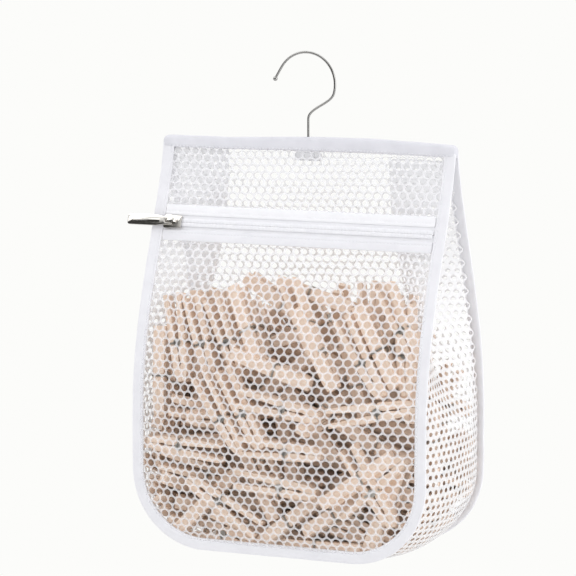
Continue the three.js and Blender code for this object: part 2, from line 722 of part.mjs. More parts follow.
function fitsInBag(outline) {
  return outline.every(([x, s], i) => {
    const [nextX, nextS] = outline[(i + 1) % outline.length];
    const middle = [(x + nextX) / 2, (s + nextS) / 2];
    return [[x, s], middle].every(([px, ps]) => ps >= pileFloor && Math.abs(px) <= layerHalf(ps));
  });
}

function pileOfPegs() {
  const next = numberRun(pileStart);
  const placed = [];
  const clear = (peg) => {
    const outline = placedOutline(peg);
    return fitsInBag(outline) && placed.every((other) => outlineGap(outline, other.outline) >= seatGap);
  };
  for (let turn = 0; turn < pileMaxPegs * pileTries && placed.length < pileMaxPegs; turn++) {
    const lean = (next() - 0.5) * Math.PI * (turn % 3 === 0 ? 1.5 : 0.7);
    const peg = { x: (next() - 0.5) * bagWidth, s: pileHeight, angle: lean + (next() > 0.5 ? Math.PI : 0) };
    const low = pileFloor;
    let best = null;
    for (let s = low; s < pileHeight; s += pegHandleHalf / 2) {
      if (clear({ ...peg, s })) {
        best = s;
        break;
      }
    }
    if (best === null) {
      continue;
    }
    peg.s = best;
    while (clear({ ...peg, s: peg.s - pileRestStep })) {
      peg.s -= pileRestStep;
    }
    const topLimit = bagHeight - pileTopDepth + pileCentreRise * (1 - (2 * peg.x / bagWidth) ** 2);
    peg.outline = placedOutline(peg);
    if (Math.max(...peg.outline.map(([, s]) => s)) > topLimit) {
      continue;
    }
    placed.push(peg);
  }
  return placed;
}

const bag = new THREE.Group();
bag.add(named('top_hem', topHem(), whiteCloth));
bag.add(named('hanger_bar', hangerBar(), whitePlastic));
bag.add(named('front_binding', seamBinding(-1), whiteTape));
bag.add(named('back_binding', seamBinding(1), whiteTape));
bag.add(named('side_gusset', sideGusset(), whiteCloth));

const panelTopDepth = hemHeight + seatGap;
const upperNet = netPanel(-1, frontCrown, netRuns(panelTopDepth, zipDepth - clothEdgeDepth));
bag.add(named('front_panel_upper', upperNet, whiteCloth));
const lowerNet = netPanel(-1, frontCrown, netRunsToBottom(zipDepth + clothEdgeDepth));
bag.add(named('front_panel_lower', lowerNet, whiteCloth));
bag.add(named('back_panel', netPanel(1, backCrown, netRunsToBottom(panelTopDepth)), whiteCloth));
bag.add(named('zip_tape_upper', zipTape(1), whiteTape));
bag.add(named('zip_tape_lower', zipTape(-1), whiteTape));

const zip = new THREE.Group();
zip.position.set(0, -spread(-zipDepth) / 2, -zipDepth);
zip.rotation.x = -zipTilt;
zip.add(named('zip_coil_upper', zipCoil(1), whiteTape));
zip.add(named('zip_coil_lower', zipCoil(-1), whiteTape));
const slider = new THREE.Group();
slider.position.x = sliderLength / 2 - zipHalfLength + seatGap;
slider.add(named('slider_body', sliderBody(), nickel));
const puller = named('puller', pullerBody(), nickel);
puller.position.y = -pinHeight;
slider.add(puller);
zip.add(slider);
bag.add(zip);

const layer = new THREE.Group();
layer.position.set(0, -spread(-bagHeight) / 2 + pileInset / Math.cos(pileLean), -bagHeight);
layer.rotation.x = -pileLean;
const pegShape = geometryOf(pegBody());
pileOfPegs().forEach((place, i) => {
  const peg = named(`peg_${String(i + 1).padStart(2, '0')}`, pegShape, beech);
  peg.position.set(place.x, 0, place.s);
  peg.rotation.y = -place.angle;
  layer.add(peg);
});
bag.add(layer);

const pegBag = new THREE.Group();
bag.position.z = -crownHeight;
bag.add(named('hook_wire', hookWire(), steelWire));
pegBag.add(bag);

export default pegBag;
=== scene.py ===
# %% [markdown]
# # A net bag for clothes pegs
# The real bag is knitted polyester net on a stiff bar, bound with folded tape, and it hangs from a bent
# wire hook. A gusset opens it out towards the bottom, a zip crosses its front, and wooden spring pegs fill
# it.
#
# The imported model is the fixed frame. It gives every size and place, and each new piece below either
# dresses one of its solids or stands for it. First come the libraries and the frame.
# Blender's noise gets a fixed seed, because it would otherwise start from the clock.

# %% Load the frame
import math
import random

import bmesh
import bpy
import numpy as np
from mathutils import Matrix, Vector, noise


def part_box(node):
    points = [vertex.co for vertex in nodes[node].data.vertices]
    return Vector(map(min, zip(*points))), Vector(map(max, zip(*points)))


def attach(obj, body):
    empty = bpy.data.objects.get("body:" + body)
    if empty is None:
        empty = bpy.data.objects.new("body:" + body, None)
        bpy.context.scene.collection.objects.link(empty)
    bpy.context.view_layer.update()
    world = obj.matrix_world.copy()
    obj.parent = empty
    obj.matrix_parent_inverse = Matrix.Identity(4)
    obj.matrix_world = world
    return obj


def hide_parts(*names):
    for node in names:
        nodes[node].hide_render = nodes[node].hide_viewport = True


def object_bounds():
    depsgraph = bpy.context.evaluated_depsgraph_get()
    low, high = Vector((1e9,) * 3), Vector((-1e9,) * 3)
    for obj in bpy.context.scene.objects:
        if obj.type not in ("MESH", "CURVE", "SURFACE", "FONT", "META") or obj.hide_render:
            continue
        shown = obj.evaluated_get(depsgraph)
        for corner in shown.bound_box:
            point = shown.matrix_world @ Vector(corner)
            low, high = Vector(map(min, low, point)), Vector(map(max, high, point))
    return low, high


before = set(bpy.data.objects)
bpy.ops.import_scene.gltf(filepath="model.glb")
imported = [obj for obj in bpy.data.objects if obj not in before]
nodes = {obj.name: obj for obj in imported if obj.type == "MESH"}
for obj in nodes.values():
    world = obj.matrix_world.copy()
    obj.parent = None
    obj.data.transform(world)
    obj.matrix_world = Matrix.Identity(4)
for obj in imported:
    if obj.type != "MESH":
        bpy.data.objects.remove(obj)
cad_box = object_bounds()
MM = 0.001
noise_seed = 7
noise.seed_set(noise_seed)
print("frame loaded with", len(nodes), "solids")

# %% [markdown]
# The cloth follows a few curves, the same ones that shaped the solids. They work in millimetres, counted
# from the middle of the hem's top edge. The largest sizes are read from the frame, so the dressed bag can
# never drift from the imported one. Two seams run round the front and the back, close together under the hem
# and a gusset's width apart at the bottom.

# %% Sizes of the bag
hem_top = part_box("top_hem")[1].z
binding_low, binding_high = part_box("front_binding")
binding_width = 10
binding_thickness = 2
bag_width = (binding_high.x - binding_low.x) / MM - binding_width
bag_height = (hem_top - binding_low.z) / MM - binding_width / 2
gusset_width = -2 * binding_low.y / MM - binding_thickness
corner_radius = 59
top_spread = 6
open_depth = 223
spread_power = 1.3
hem_height = 10
front_crown = 20
back_crown = 8
gusset_crown = 8
zip_depth = 69.5
zip_tape_width = 14
crown_top = zip_depth + zip_tape_width + binding_width / 2
print("bag", round(bag_width), "x", round(gusset_width), "x", round(bag_height), "mm")


# %% Curves of the cloth
def placed(x, y, z):
    """A point given in millimetres from the hem's top, as a place in the scene."""
    return Vector((x * MM, y * MM, hem_top + z * MM))


def clamp(value):
    return min(max(value, 0), 1)


def spread(z):
    """How far apart the front and back seams are at a height."""
    share = clamp((-z - hem_height) / (open_depth - hem_height))
    return top_spread + (gusset_width - top_spread) * math.sin(share * math.pi / 2) ** spread_power


def half_width(z, inset):
    """Half of the width between the side seams, less an inset square to the seam."""
    below = corner_radius - bag_height - z
    if below <= 0:
        return bag_width / 2 - inset
    radius = corner_radius - inset
    return bag_width / 2 - corner_radius + math.sqrt(max(radius ** 2 - below ** 2, 0))


def panel_place(side, crown, x, z, inward=0):
    """A point of the front (side -1) or back (side 1) panel. The cloth swells below the zip."""
    across = clamp(abs(x) / max(half_width(z, 0), 1))
    down = clamp((-z - crown_top) / (bag_height - crown_top))
    swell = crown * (1 - across ** 2) * math.sin(math.pi * down) ** 0.8
    return placed(x, side * (spread(z) / 2 + swell - inward), z)


side_run = bag_height - corner_radius
corner_run = corner_radius * math.pi / 2
seam_length = 2 * (side_run + corner_run) + bag_width - 2 * corner_radius


def seam_at(run):
    """x, z and the outward direction of the seam, a run along it from the top left round to the top right."""
    mirror = -1 if run > seam_length / 2 else 1
    run = min(run, seam_length - run)
    if run < side_run:
        x, z, out = -bag_width / 2, -run, (-1, 0)
    elif run < side_run + corner_run:
        angle = math.pi + (run - side_run) / corner_radius
        out = (math.cos(angle), math.sin(angle))
        x = corner_radius - bag_width / 2 + corner_radius * out[0]
        z = corner_radius - bag_height + corner_radius * out[1]
    else:
        x, z, out = corner_radius - bag_width / 2 + run - side_run - corner_run, -bag_height, (0, -1)
    return mirror * x, z, (mirror * out[0], out[1])


print("seam", round(seam_length), "mm long")

# %% [markdown]
# The photograph was taken from a little above and to the bag's left, with a long lens, so its upright
# lines stay almost parallel. A camera looking at one point of the bag with that angle and lens gives the
# same frame.

# %% Camera
camera_azimuth = math.radians(25.93)
camera_elevation = math.radians(6.85)
camera_distance = 2.9778
camera_target = Vector((-18.17, 0, -189.85)) * MM
camera = bpy.data.objects.new("camera", bpy.data.cameras.new("camera"))
camera.data.lens = 230.2
camera.data.sensor_width = 36
direction = Vector((math.sin(camera_azimuth) * math.cos(camera_elevation),
                    -math.cos(camera_azimuth) * math.cos(camera_elevation), math.sin(camera_elevation)))
camera.location = camera_target + direction * camera_distance
camera.rotation_euler = (-direction).to_track_quat("-Z", "Y").to_euler()
bpy.context.scene.collection.objects.link(camera)
bpy.context.scene.camera = camera
print("camera at", [round(c, 2) for c in camera.location])

# %% [markdown]
# Materials are node trees. One helper adds a node, sets it up and links what feeds it. Colours are written
# as the sRGB codes a maker would note down, and one function turns them to the linear values that Blender
# works with. A pattern's scale follows from its real size in millimetres. Most surfaces here differ only in
# how their shade, roughness and relief drift from place to place, so each of those three is a helper too.


# %% Helpers for materials
def add_node(tree, kind, inputs=None, **settings):
    """Add a node with its settings. Each input is a value or another node's output to link."""
    node = tree.nodes.new(kind)
    for name, value in settings.items():
        setattr(node, name, value)
    for name, value in (inputs or {}).items():
        if isinstance(value, bpy.types.NodeSocket):
            tree.links.new(value, node.inputs[name])
        else:
            node.inputs[name].default_value = value
    return node


def colour(code):
    """A linear colour from an sRGB hex code."""
    channels = [int(code[i:i + 2], 16) / 255 for i in (1, 3, 5)]
    linear = [c / 12.92 if c <= 0.04045 else ((c + 0.055) / 1.055) ** 2.4 for c in channels]
    return (*linear, 1)


def per_metre(size):
    """How often a pattern of that many millimetres repeats in a metre."""
    return 1 / (size * MM)


def new_material(name, **surface):
    """A material with its Principled shader, and the shader's node tree."""
    material = bpy.data.materials.new(name)
    material.use_nodes = True
    tree = material.node_tree
    shader = tree.nodes["Principled BSDF"]
    for key, value in surface.items():
        shader.inputs[key.replace("_", " ")].default_value = value
    return material, tree, shader


def object_noise(tree, size, detail=2):
    """Noise in patches of that many millimetres, which keep their places on the object."""
    place = add_node(tree, "ShaderNodeTexCoord")
    return add_node(tree, "ShaderNodeTexNoise", {
        "Vector": place.outputs["Object"], "Scale": per_metre(size), "Detail": detail})


def shade_by(tree, shader, pattern, dark, pale, low=0, high=1):
    """Colour a surface between two shades, as its pattern goes from low to high."""
    shade = add_node(tree, "ShaderNodeValToRGB", {"Fac": pattern.outputs[0]})
    for stop, position, code in zip(shade.color_ramp.elements, (low, high), (dark, pale)):
        stop.position = position
        stop.color = colour(code)
    tree.links.new(shade.outputs[0], shader.inputs["Base Color"])


def roughen_by(tree, shader, pattern, low, high):
    """Let the roughness drift between two values."""
    worn = add_node(tree, "ShaderNodeMapRange", {"Value": pattern.outputs[0], "To Min": low, "To Max": high})
    tree.links.new(worn.outputs[0], shader.inputs["Roughness"])


def raise_by(tree, shader, pattern, strength, height):
    """Raise a surface by a pattern, by up to a height in millimetres."""
    relief = add_node(tree, "ShaderNodeBump", {
        "Height": pattern.outputs[0], "Strength": strength, "Distance": height * MM})
    tree.links.new(relief.outputs[0], shader.inputs["Normal"])


def seen_directly(tree):
    """The light path node, and whether the camera sees a ray directly or through glass."""
    rays = add_node(tree, "ShaderNodeLightPath")
    seen = add_node(tree, "ShaderNodeMath", {
        0: rays.outputs["Is Camera Ray"], 1: rays.outputs["Is Transmission Ray"]}, operation="MAXIMUM")
    return rays, seen.outputs[0]


def mesh_of(name, bm):
    """Turn a bmesh into a mesh, and free it."""
    mesh = bpy.data.meshes.new(name)
    bm.to_mesh(mesh)
    bm.free()
    return mesh


def joined(mesh, places):
    """One bmesh with a copy of a mesh at each placement."""
    bm = bmesh.new()
    for matrix in places:
        copy = mesh.copy()
        copy.transform(matrix)
        bm.from_mesh(copy)
        bpy.data.meshes.remove(copy)
    return bm


# %% [markdown]
# The studio is a pale floor far below the bag and a white surround. The world is white to the camera, and a
# softer light to everything else. Polished metal also needs something dark to show, or it looks like
# paper, so reflections that look towards the camera's side find a dim room there.

# %% Studio
scene = bpy.context.scene
scene.view_settings.view_transform = "Standard"
floor_drop = 0.25
floor_reach = 3
colour_a, colour_b, colour_out = 6, 7, 2
world = bpy.data.worlds.new("studio")
world.use_nodes = True
scene.world = world
tree = world.node_tree
tree.nodes.clear()
rays, seen = seen_directly(tree)
place = add_node(tree, "ShaderNodeTexCoord")
axes = add_node(tree, "ShaderNodeSeparateXYZ", {"Vector": place.outputs["Generated"]})
height = add_node(tree, "ShaderNodeMapRange", {
    "Value": axes.outputs["Z"], "From Min": 0.35, "From Max": 0.75})
behind = add_node(tree, "ShaderNodeMapRange", {
    "Value": axes.outputs["Y"], "From Min": -0.5, "From Max": -0.1})
bright = add_node(tree, "ShaderNodeMath",
                  {0: height.outputs["Result"], 1: behind.outputs["Result"]}, operation="MAXIMUM")
room = add_node(tree, "ShaderNodeMix", {"Factor": bright.outputs["Value"]}, data_type="RGBA")
room.inputs[colour_a].default_value = colour("#3C3C3A")
room.inputs[colour_b].default_value = colour("#FFFFFF")
reflected = add_node(tree, "ShaderNodeBackground", {"Color": room.outputs[colour_out], "Strength": 1.0})
light = add_node(tree, "ShaderNodeBackground", {"Color": colour("#FCFCFF"), "Strength": 0.82})
backdrop = add_node(tree, "ShaderNodeBackground", {"Color": colour("#FCFCFA"), "Strength": 1.0})
lit = add_node(tree, "ShaderNodeMixShader", {
    0: rays.outputs["Is Glossy Ray"], 1: light.outputs[0], 2: reflected.outputs[0]})
all_rays = add_node(tree, "ShaderNodeMixShader", {0: seen, 1: lit.outputs[0], 2: backdrop.outputs[0]})
add_node(tree, "ShaderNodeOutputWorld", {"Surface": all_rays.outputs[0]})

bm = bmesh.new()
bmesh.ops.create_grid(bm, x_segments=1, y_segments=1, size=floor_reach)
bmesh.ops.translate(bm, vec=(0, 0, cad_box[0][2] - floor_drop), verts=bm.verts)
floor_mesh = mesh_of("floor", bm)
floor = bpy.data.objects.new("floor", floor_mesh)
scene.collection.objects.link(floor)
print("floor", floor_drop, "m below the bag")

# %% Floor paint
floor_paint, tree, shader = new_material("matt_white_paint", Roughness=0.9, Base_Color=colour("#F0F0EE"))
place = add_node(tree, "ShaderNodeTexCoord")
flat = add_node(tree, "ShaderNodeMapping", {"Vector": place.outputs["Object"], "Scale": (1, 1, 0)})
reach = add_node(tree, "ShaderNodeVectorMath", {0: flat.outputs["Vector"]}, operation="LENGTH")
far = add_node(tree, "ShaderNodeMapRange", {
    "Value": reach.outputs["Value"], "From Min": 0.35, "From Max": 0.8})
seen = seen_directly(tree)[1]
share = add_node(tree, "ShaderNodeMath", {0: seen, 1: far.outputs[0]}, operation="MULTIPLY")
white = add_node(tree, "ShaderNodeEmission", {"Color": colour("#FCFCFA"), "Strength": 1.0})
mixed = add_node(tree, "ShaderNodeMixShader", {
    0: share.outputs[0], 1: shader.outputs[0], 2: white.outputs[0]})
tree.links.new(mixed.outputs[0], tree.nodes["Material Output"].inputs["Surface"])
floor_mesh.materials.append(floor_paint)


# %% Lamps
def soft_lamp(name, place, size, power):
    """A square lamp that looks at the middle of the bag."""
    lamp = bpy.data.objects.new(name, bpy.data.lights.new(name, "AREA"))
    lamp.data.size = size
    lamp.data.energy = power
    lamp.location = place
    lamp.rotation_euler = (Vector(place) - camera_target).to_track_quat("Z", "Y").to_euler()
    scene.collection.objects.link(lamp)


soft_lamp("key", (-1.7, -1.1, 1.4), 1.6, 15)
soft_lamp("fill", (2.3, -0.4, 0.3), 1.8, 20)
soft_lamp("top", (0.0, 0.2, 2.0), 1.6, 7)
print("three soft lamps")


# %% [markdown]
# Every piece is made the same way. A bmesh is shaped with operators, becomes a mesh with smooth faces and
# one material, and rides on the body of the model that carries it.


# %% Helpers that make a piece
def make_piece(name, bm, material, body="bag"):
    """A smooth piece of one material that rides on a body of the model."""
    mesh = mesh_of(name, bm)
    mesh.materials.append(material)
    for face in mesh.polygons:
        face.use_smooth = True
    piece = bpy.data.objects.new(name, mesh)
    scene.collection.objects.link(piece)
    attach(piece, body)
    print("made", name, "with", len(mesh.polygons), "faces")
    return piece


def add_modifier(piece, kind, **settings):
    """A modifier with its settings."""
    modifier = piece.modifiers.new(kind.lower(), kind)
    for key, value in settings.items():
        setattr(modifier, key, value)


def round_off(piece):
    """One level of subdivision, for soft cloth and cords."""
    add_modifier(piece, "SUBSURF", levels=1, render_levels=1)


# %% [markdown]
# The net is warp-knitted polyester. Its thin cords leave rounded six-sided holes, in rows that are set over
# by half a hole like bricks. A grid with half-hole columns gives the bricks once every other upright is
# dissolved, and moving the corners up and down by turns makes them six-sided. An inset then leaves a cord
# round each hole, the panel's curve is put on, and Solidify and Subdivision Surface round the cords off.
#
# A cord is a loose bundle of clear filament, finer than anything modelled here, and some light gets through
# between its loops. A partly clear surface stands for that. The gusset's net is knitted closer, and its
# whiter shades are painted light that lifts the shade in its folds.

# %% Material of the net
def knitted_net(name, cover, dark, pale):
    """Knitted polyester filament. Its cover is the share of the light that one side of a cord stops."""
    material, tree, shader = new_material(name, Roughness=0.72, IOR=1.5, Sheen_Weight=0.35,
                                          Sheen_Roughness=0.5, Alpha=cover)
    shade_by(tree, shader, object_noise(tree, 30), dark, pale)
    raise_by(tree, shader, object_noise(tree, 0.5, detail=1), 0.5, 0.15)
    return material


net_cloth = knitted_net("knitted_polyester_net", 0.42, "#F6F6F9", "#FDFDFE")
# The gusset's whiter shades are painted light, lifting the shade inside the folded gusset.
denser_gusset_cloth_painted_light = knitted_net("denser_gusset_net_painted_light", 0.6, "#FBFBFD", "#FFFFFF")

# %% Knit a flat net
net_pitch = 7.7
net_row = 5.8
net_rise = 1.25
cord_width = 1.2
gusset_cord = 3.3
cord_depth = 0.55
wobble_size = 30
wobble_reach = 0.8
spare_net = 40


def flat_net(width, height, keep, cord=cord_width, slant=0):
    """A net about x = 0 that hangs from y = 0, with the holes that keep(x, y) lets through."""
    columns = 2 * math.ceil((width + spare_net) / net_pitch) + 2
    rows = math.ceil((height + spare_net) / net_row) + 1
    bm = bmesh.new()
    bmesh.ops.create_grid(bm, x_segments=columns, y_segments=rows, size=0.5)
    bmesh.ops.translate(bm, vec=(0, -0.5, 0), verts=bm.verts)
    bmesh.ops.scale(bm, vec=(columns * net_pitch / 2, rows * net_row, 1), verts=bm.verts)

    def turn(x, y):
        return (round(x / (net_pitch / 2)) + round(-y / net_row)) % 2

    spare = []
    for edge in bm.edges:
        first, second = edge.verts[0].co, edge.verts[1].co
        upright = abs(first.x - second.x) < net_pitch / 4
        if upright and not edge.is_boundary and turn(first.x, max(first.y, second.y)):
            spare.append(edge)
    bmesh.ops.dissolve_edges(bm, edges=spare, use_verts=False)
    for vert in bm.verts:
        vert.co.y += net_rise if turn(*vert.co.xy) else -net_rise
    bmesh.ops.translate(bm, vec=(0, spare_net / 2, 0), verts=bm.verts)
    bmesh.ops.rotate(bm, matrix=Matrix.Rotation(math.radians(slant), 3, "Z"), verts=bm.verts)
    outside = [f for f in bm.faces if not keep(*f.calc_center_median().xy)]
    bmesh.ops.delete(bm, geom=outside, context="FACES")
    holes = bm.faces[:]
    bmesh.ops.inset_individual(bm, faces=holes, thickness=cord / 2, use_even_offset=True)
    bmesh.ops.delete(bm, geom=holes, context="FACES")
    return bm


def hang_net(name, bm, surface, material, replaced):
    """Lay a flat net on a surface, a little unevenly, and give its cords their thickness."""
    for vert in bm.verts:
        drift = noise.noise_vector(vert.co / wobble_size) * wobble_reach
        vert.co = surface(vert.co.x + drift.x, vert.co.y + drift.y)
    piece = make_piece(name, bm, material)
    add_modifier(piece, "SOLIDIFY", thickness=cord_depth * MM, offset=0)
    round_off(piece)
    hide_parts(replaced)
    return piece


# %% [markdown]
# The front has two panels, above and below the zip, and the back has one. Their raw edges end inside the
# folded binding. A large net is made in parts, because one mesh of it would be too heavy to hand on.

# %% Front and back panels
slope_step = 2
zip_slope = (spread(-zip_depth - slope_step) - spread(-zip_depth + slope_step)) / (4 * slope_step)
zip_tilt = math.atan(zip_slope)
cloth_edge = 6.0
edge_drop = cloth_edge * math.cos(zip_tilt)
net_inset = 3
turned_width = 9
turned_overlap = 2
back_slant = 2.5


def panel_keep(top, bottom):
    """Which holes lie between two depths and inside the seam."""
    return lambda x, z: bottom < z < top and abs(x) < half_width(z, net_inset) and z > net_inset - bag_height


def front_surface(x, z):
    return panel_place(-1, front_crown, x, z)


def back_surface(x, z):
    return panel_place(1, back_crown, x, z)


turned_drop = turned_width * math.cos(zip_tilt) - turned_overlap
for name, top, bottom in (("front_net_upper", -hem_height, edge_drop + turned_drop - zip_depth),
                          ("front_net_lower", -zip_depth - edge_drop - turned_drop, -bag_height)):
    net = flat_net(bag_width, bag_height, panel_keep(top, bottom))
    hang_net(name, net, front_surface, net_cloth,
             "front_panel_upper" if top > -zip_depth else "front_panel_lower")
middle = -bag_height / 2
for name, top, bottom in (("back_net_upper", -hem_height, middle), ("back_net_lower", middle, -bag_height)):
    net = flat_net(bag_width, bag_height, panel_keep(top, bottom), slant=back_slant)
    hang_net(name, net, back_surface, net_cloth, "back_panel")

# %% [markdown]
# The gusset is one long strip, sewn between the two seams down the left, round the bottom and up the right.
# Where the seams are closer together than the strip is wide, it folds inwards like the side of a paper
# bag, and towards the bottom it swells a little under the weight of the pegs.

# %% Gusset
gusset_inset = binding_thickness / 2 + 0.9
fold_softness = 4


def gusset_surface(across, run):
    """A point of the strip, given across it from its middle and along it from the top left."""
    x, z, out = seam_at(min(max(-run + hem_height, 0), seam_length))
    half_strip = gusset_width / 2
    share = min(abs(across) / half_strip, 1)
    soft = math.sqrt(across ** 2 + fold_softness ** 2) / half_strip
    half = spread(z) / 2 - gusset_inset
    fold = math.sqrt(max(half_strip ** 2 - (spread(z) / 2) ** 2, 0))
    swell = gusset_crown * (spread(z) / gusset_width) ** 4
    outward = swell * (1 - share ** 2) - fold * max(1 - soft, 0)
    return placed(x + out[0] * outward, math.copysign(half * share, across), z + out[1] * outward)


def gusset_keep(start, end):
    return lambda across, run: abs(across) < gusset_width / 2 - net_inset and -end < run < -start


strip_length = seam_length - 2 * hem_height
strip_parts = 2
for part in range(strip_parts):
    start = strip_length * part / strip_parts
    end = strip_length * (part + 1) / strip_parts
    net = flat_net(gusset_width, strip_length, gusset_keep(start, end), cord=gusset_cord)
    hang_net(f"gusset_net_{part + 1}", net, gusset_surface, denser_gusset_cloth_painted_light, "side_gusset")

# %% [markdown]
# Tapes, wires and threads all have one section that runs along a path. The next helper starts from the
# section's few points and extrudes that ring from place to place. It also notes on every vertex how far
# along and across the tape it lies, in millimetres, so that a weave can follow the cloth round its bends.


# %% Helper that runs a section along a path
def sweep(section, places, step=1.0):
    """Extrude a ring of (across, through) points, in millimetres, along a list of placement matrices."""
    bm = bmesh.new()
    cloth = bm.verts.layers.float_vector.new("cloth")
    verts = [bm.verts.new((0, across * MM, through * MM)) for across, through in section]
    ring = [bm.edges.new((verts[i - 1], verts[i])) for i in range(len(verts))]
    for vert, (across, through) in zip(verts, section):
        vert[cloth] = (0, across, through)
    bmesh.ops.transform(bm, matrix=places[0], verts=verts)
    for i in range(1, len(places)):
        made = bmesh.ops.extrude_edge_only(bm, edges=ring)["geom"]
        moved = [g for g in made if isinstance(g, bmesh.types.BMVert)]
        new = set(moved)
        ring = [g for g in made if isinstance(g, bmesh.types.BMEdge) and set(g.verts) <= new]
        bmesh.ops.transform(bm, matrix=places[i] @ places[i - 1].inverted(), verts=moved)
        for vert in moved:
            vert[cloth] += Vector((step, 0, 0))
    ends = [e for e in bm.edges if e.is_boundary]
    bmesh.ops.holes_fill(bm, edges=ends, sides=0)
    bmesh.ops.recalc_face_normals(bm, faces=bm.faces)
    return bm


def frame_matrix(place, along, across):
    """A placement whose X axis runs along the path and whose Y axis is as near as it can be to across."""
    along = along.normalized()
    through = along.cross(across).normalized()
    across = through.cross(along)
    matrix = Matrix((along, across, through)).transposed().to_4x4()
    matrix.translation = place
    return matrix


def places_along(points, across):
    """Placements at a run of points. The section keeps facing the same way."""
    last = len(points) - 1
    return [frame_matrix(p, points[min(i + 1, last)] - points[max(i - 1, 0)], across)
            for i, p in enumerate(points)]


def rounded_section(width, thickness, corner, count):
    """A section between an oval and a box. A lower corner value makes it squarer."""
    points = []
    for i in range(count):
        angle = 2 * math.pi * (i + 0.5) / count
        c, s = math.cos(angle), math.sin(angle)
        x = math.copysign(abs(c) ** corner, c)
        y = math.copysign(abs(s) ** corner, s)
        points.append((x * width / 2, y * thickness / 2))
    return points


# %% [markdown]
# The binding is a woven tape folded over the raw edges of the cloth and sewn through. It is the whitest and
# smoothest part of the bag. Its ribs run across the tape, so its bump follows the noted place on the cloth.


# %% Material of the tapes
waves_per_turn = 10


def woven_tape(name, pale, dark, rib, roughness):
    """Woven polyester: ribs across the tape, finer threads along it, and slightly uneven whiteness."""
    material, tree, shader = new_material(name, Roughness=roughness, IOR=1.5, Sheen_Weight=0.2,
                                          Sheen_Roughness=0.5)
    shade_by(tree, shader, object_noise(tree, 14), dark, pale)
    cloth = add_node(tree, "ShaderNodeAttribute", attribute_name="cloth")
    ribs, threads = [add_node(tree, "ShaderNodeTexWave", {
        "Vector": cloth.outputs["Vector"], "Scale": math.pi / (waves_per_turn * rib), "Distortion": 0.6,
        "Detail": 1}, bands_direction=axis) for axis in "XY"]
    weave = add_node(tree, "ShaderNodeMath", {
        0: ribs.outputs["Fac"], 1: threads.outputs["Fac"]}, operation="ADD")
    raise_by(tree, shader, weave, 0.35, 0.12)
    return material


binding_tape = woven_tape("woven_binding_tape", "#F3F3F6", "#E7E7EB", 0.6, 0.65)
zip_cloth = woven_tape("woven_zip_tape", "#F9F9FB", "#F1F1F4", 0.5, 0.7)
# The hem is the same white net folded double; its greyer shades are painted shade, darker than the net and
# the tapes.
hem_cloth_painted_shade = woven_tape("folded_net_hem_painted_shade", "#E9E9EE", "#D6D6DC", 0.8, 0.75)

# %% Bindings
pucker_size = 9
pucker_reach = 0.22
binding_steps = 260
binding_start = 5
binding_run = seam_length - 2 * binding_start


def seam_places(side):
    """Placements along one seam, with Y pointing out of the bag's outline. They start inside the hem."""
    runs = [binding_start + binding_run * i / binding_steps for i in range(binding_steps + 1)]
    stations = [seam_at(run) for run in runs]
    points = [placed(x, side * spread(z) / 2, z) for x, z, out in stations]
    places = []
    for i, (x, z, out) in enumerate(stations):
        along = points[min(i + 1, binding_steps)] - points[max(i - 1, 0)]
        places.append(frame_matrix(points[i], along, Vector((out[0], 0, out[1]))))
    return places


binding_profile = [(-5, 0.3), (-4.7, 0.75), (-4, 0.95), (-3.4, 0.9), (-3.1, 0.55), (-2.7, 0.95), (-1.5, 1.05),
                   (2, 1.05), (4, 0.95), (4.8, 0.7), (5, 0.3)]


def seam_binding(name, side, replaced):
    section = [(across, through) for across, through in binding_profile]
    section += [(across, -through) for across, through in reversed(binding_profile)]
    bm = sweep(section, seam_places(side), step=binding_run / binding_steps)
    for vert in bm.verts:
        vert.co += noise.noise_vector(vert.co / (pucker_size * MM)) * pucker_reach * MM
    piece = make_piece(name, bm, binding_tape)
    round_off(piece)
    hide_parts(replaced)


seam_binding("front_bound_edge", -1, "front_binding")
seam_binding("back_bound_edge", 1, "back_binding")

# %% [markdown]
# The hem is the net itself, folded over the stiff bar and over the tops of the bindings, and stitched under
# the bar. From outside it reads as a soft tube, a little higher in the middle where the hook carries it. It
# is thicker over the bindings, rounded at its ends, and its top is narrower than its stitched foot.

# %% Hem
hem_low, hem_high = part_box("top_hem")
hem_thickness = (hem_high.y - hem_low.y) / MM
hem_half = bag_width / 2 + binding_width / 2 + 0.4
hem_steps = 110
hem_rise = 3.0
rise_middle = 35
rise_reach = 110
hem_end = 5
binding_bulge = 0.45
bulge_inset = 13
bulge_run = 4
top_taper = 0.3
end_taper = 0.4
end_drop = 0.6
foot_lift = 0.3
crease_length = 7
crease_height = 3
crease_reach = 0.2
crease_share = 0.4
soft_size = 18
soft_reach = 0.35
hem_points = [placed(hem_half * (2 * i / hem_steps - 1), 0, -hem_height / 2) for i in range(hem_steps + 1)]
hem_section = rounded_section(hem_height, hem_thickness, corner=0.5, count=24)


def hem_shape(point):
    """Where a point of the straight tube lies once the hem is sewn and hung."""
    x, y, z = point.x / MM, point.y / MM, (point.z - hem_top) / MM
    over = clamp((abs(x) - hem_half + bulge_inset) / bulge_run)
    upper = clamp((z + hem_height / 2) / (hem_height / 2))
    end = clamp((abs(x) - hem_half + hem_end) / hem_end)
    ending = 1 - math.sqrt(1 - end ** 2)
    y *= (1 + binding_bulge * over) * (1 - top_taper * upper) * (1 - end_taper * ending)
    z -= hem_end * end_drop * ending * upper
    lift = hem_rise * (1 - clamp(abs(x - rise_middle) / rise_reach) ** 2) ** 2
    z += lift * (foot_lift + (1 - foot_lift) * clamp((z + hem_height) / hem_height))
    soft = noise.noise_vector(Vector((x, y, z)) / soft_size) * soft_reach
    crease = noise.noise(Vector((x / crease_length, 0, z / crease_height))) * crease_reach
    return placed(x, y * (1 + crease * crease_share), z) + soft * MM


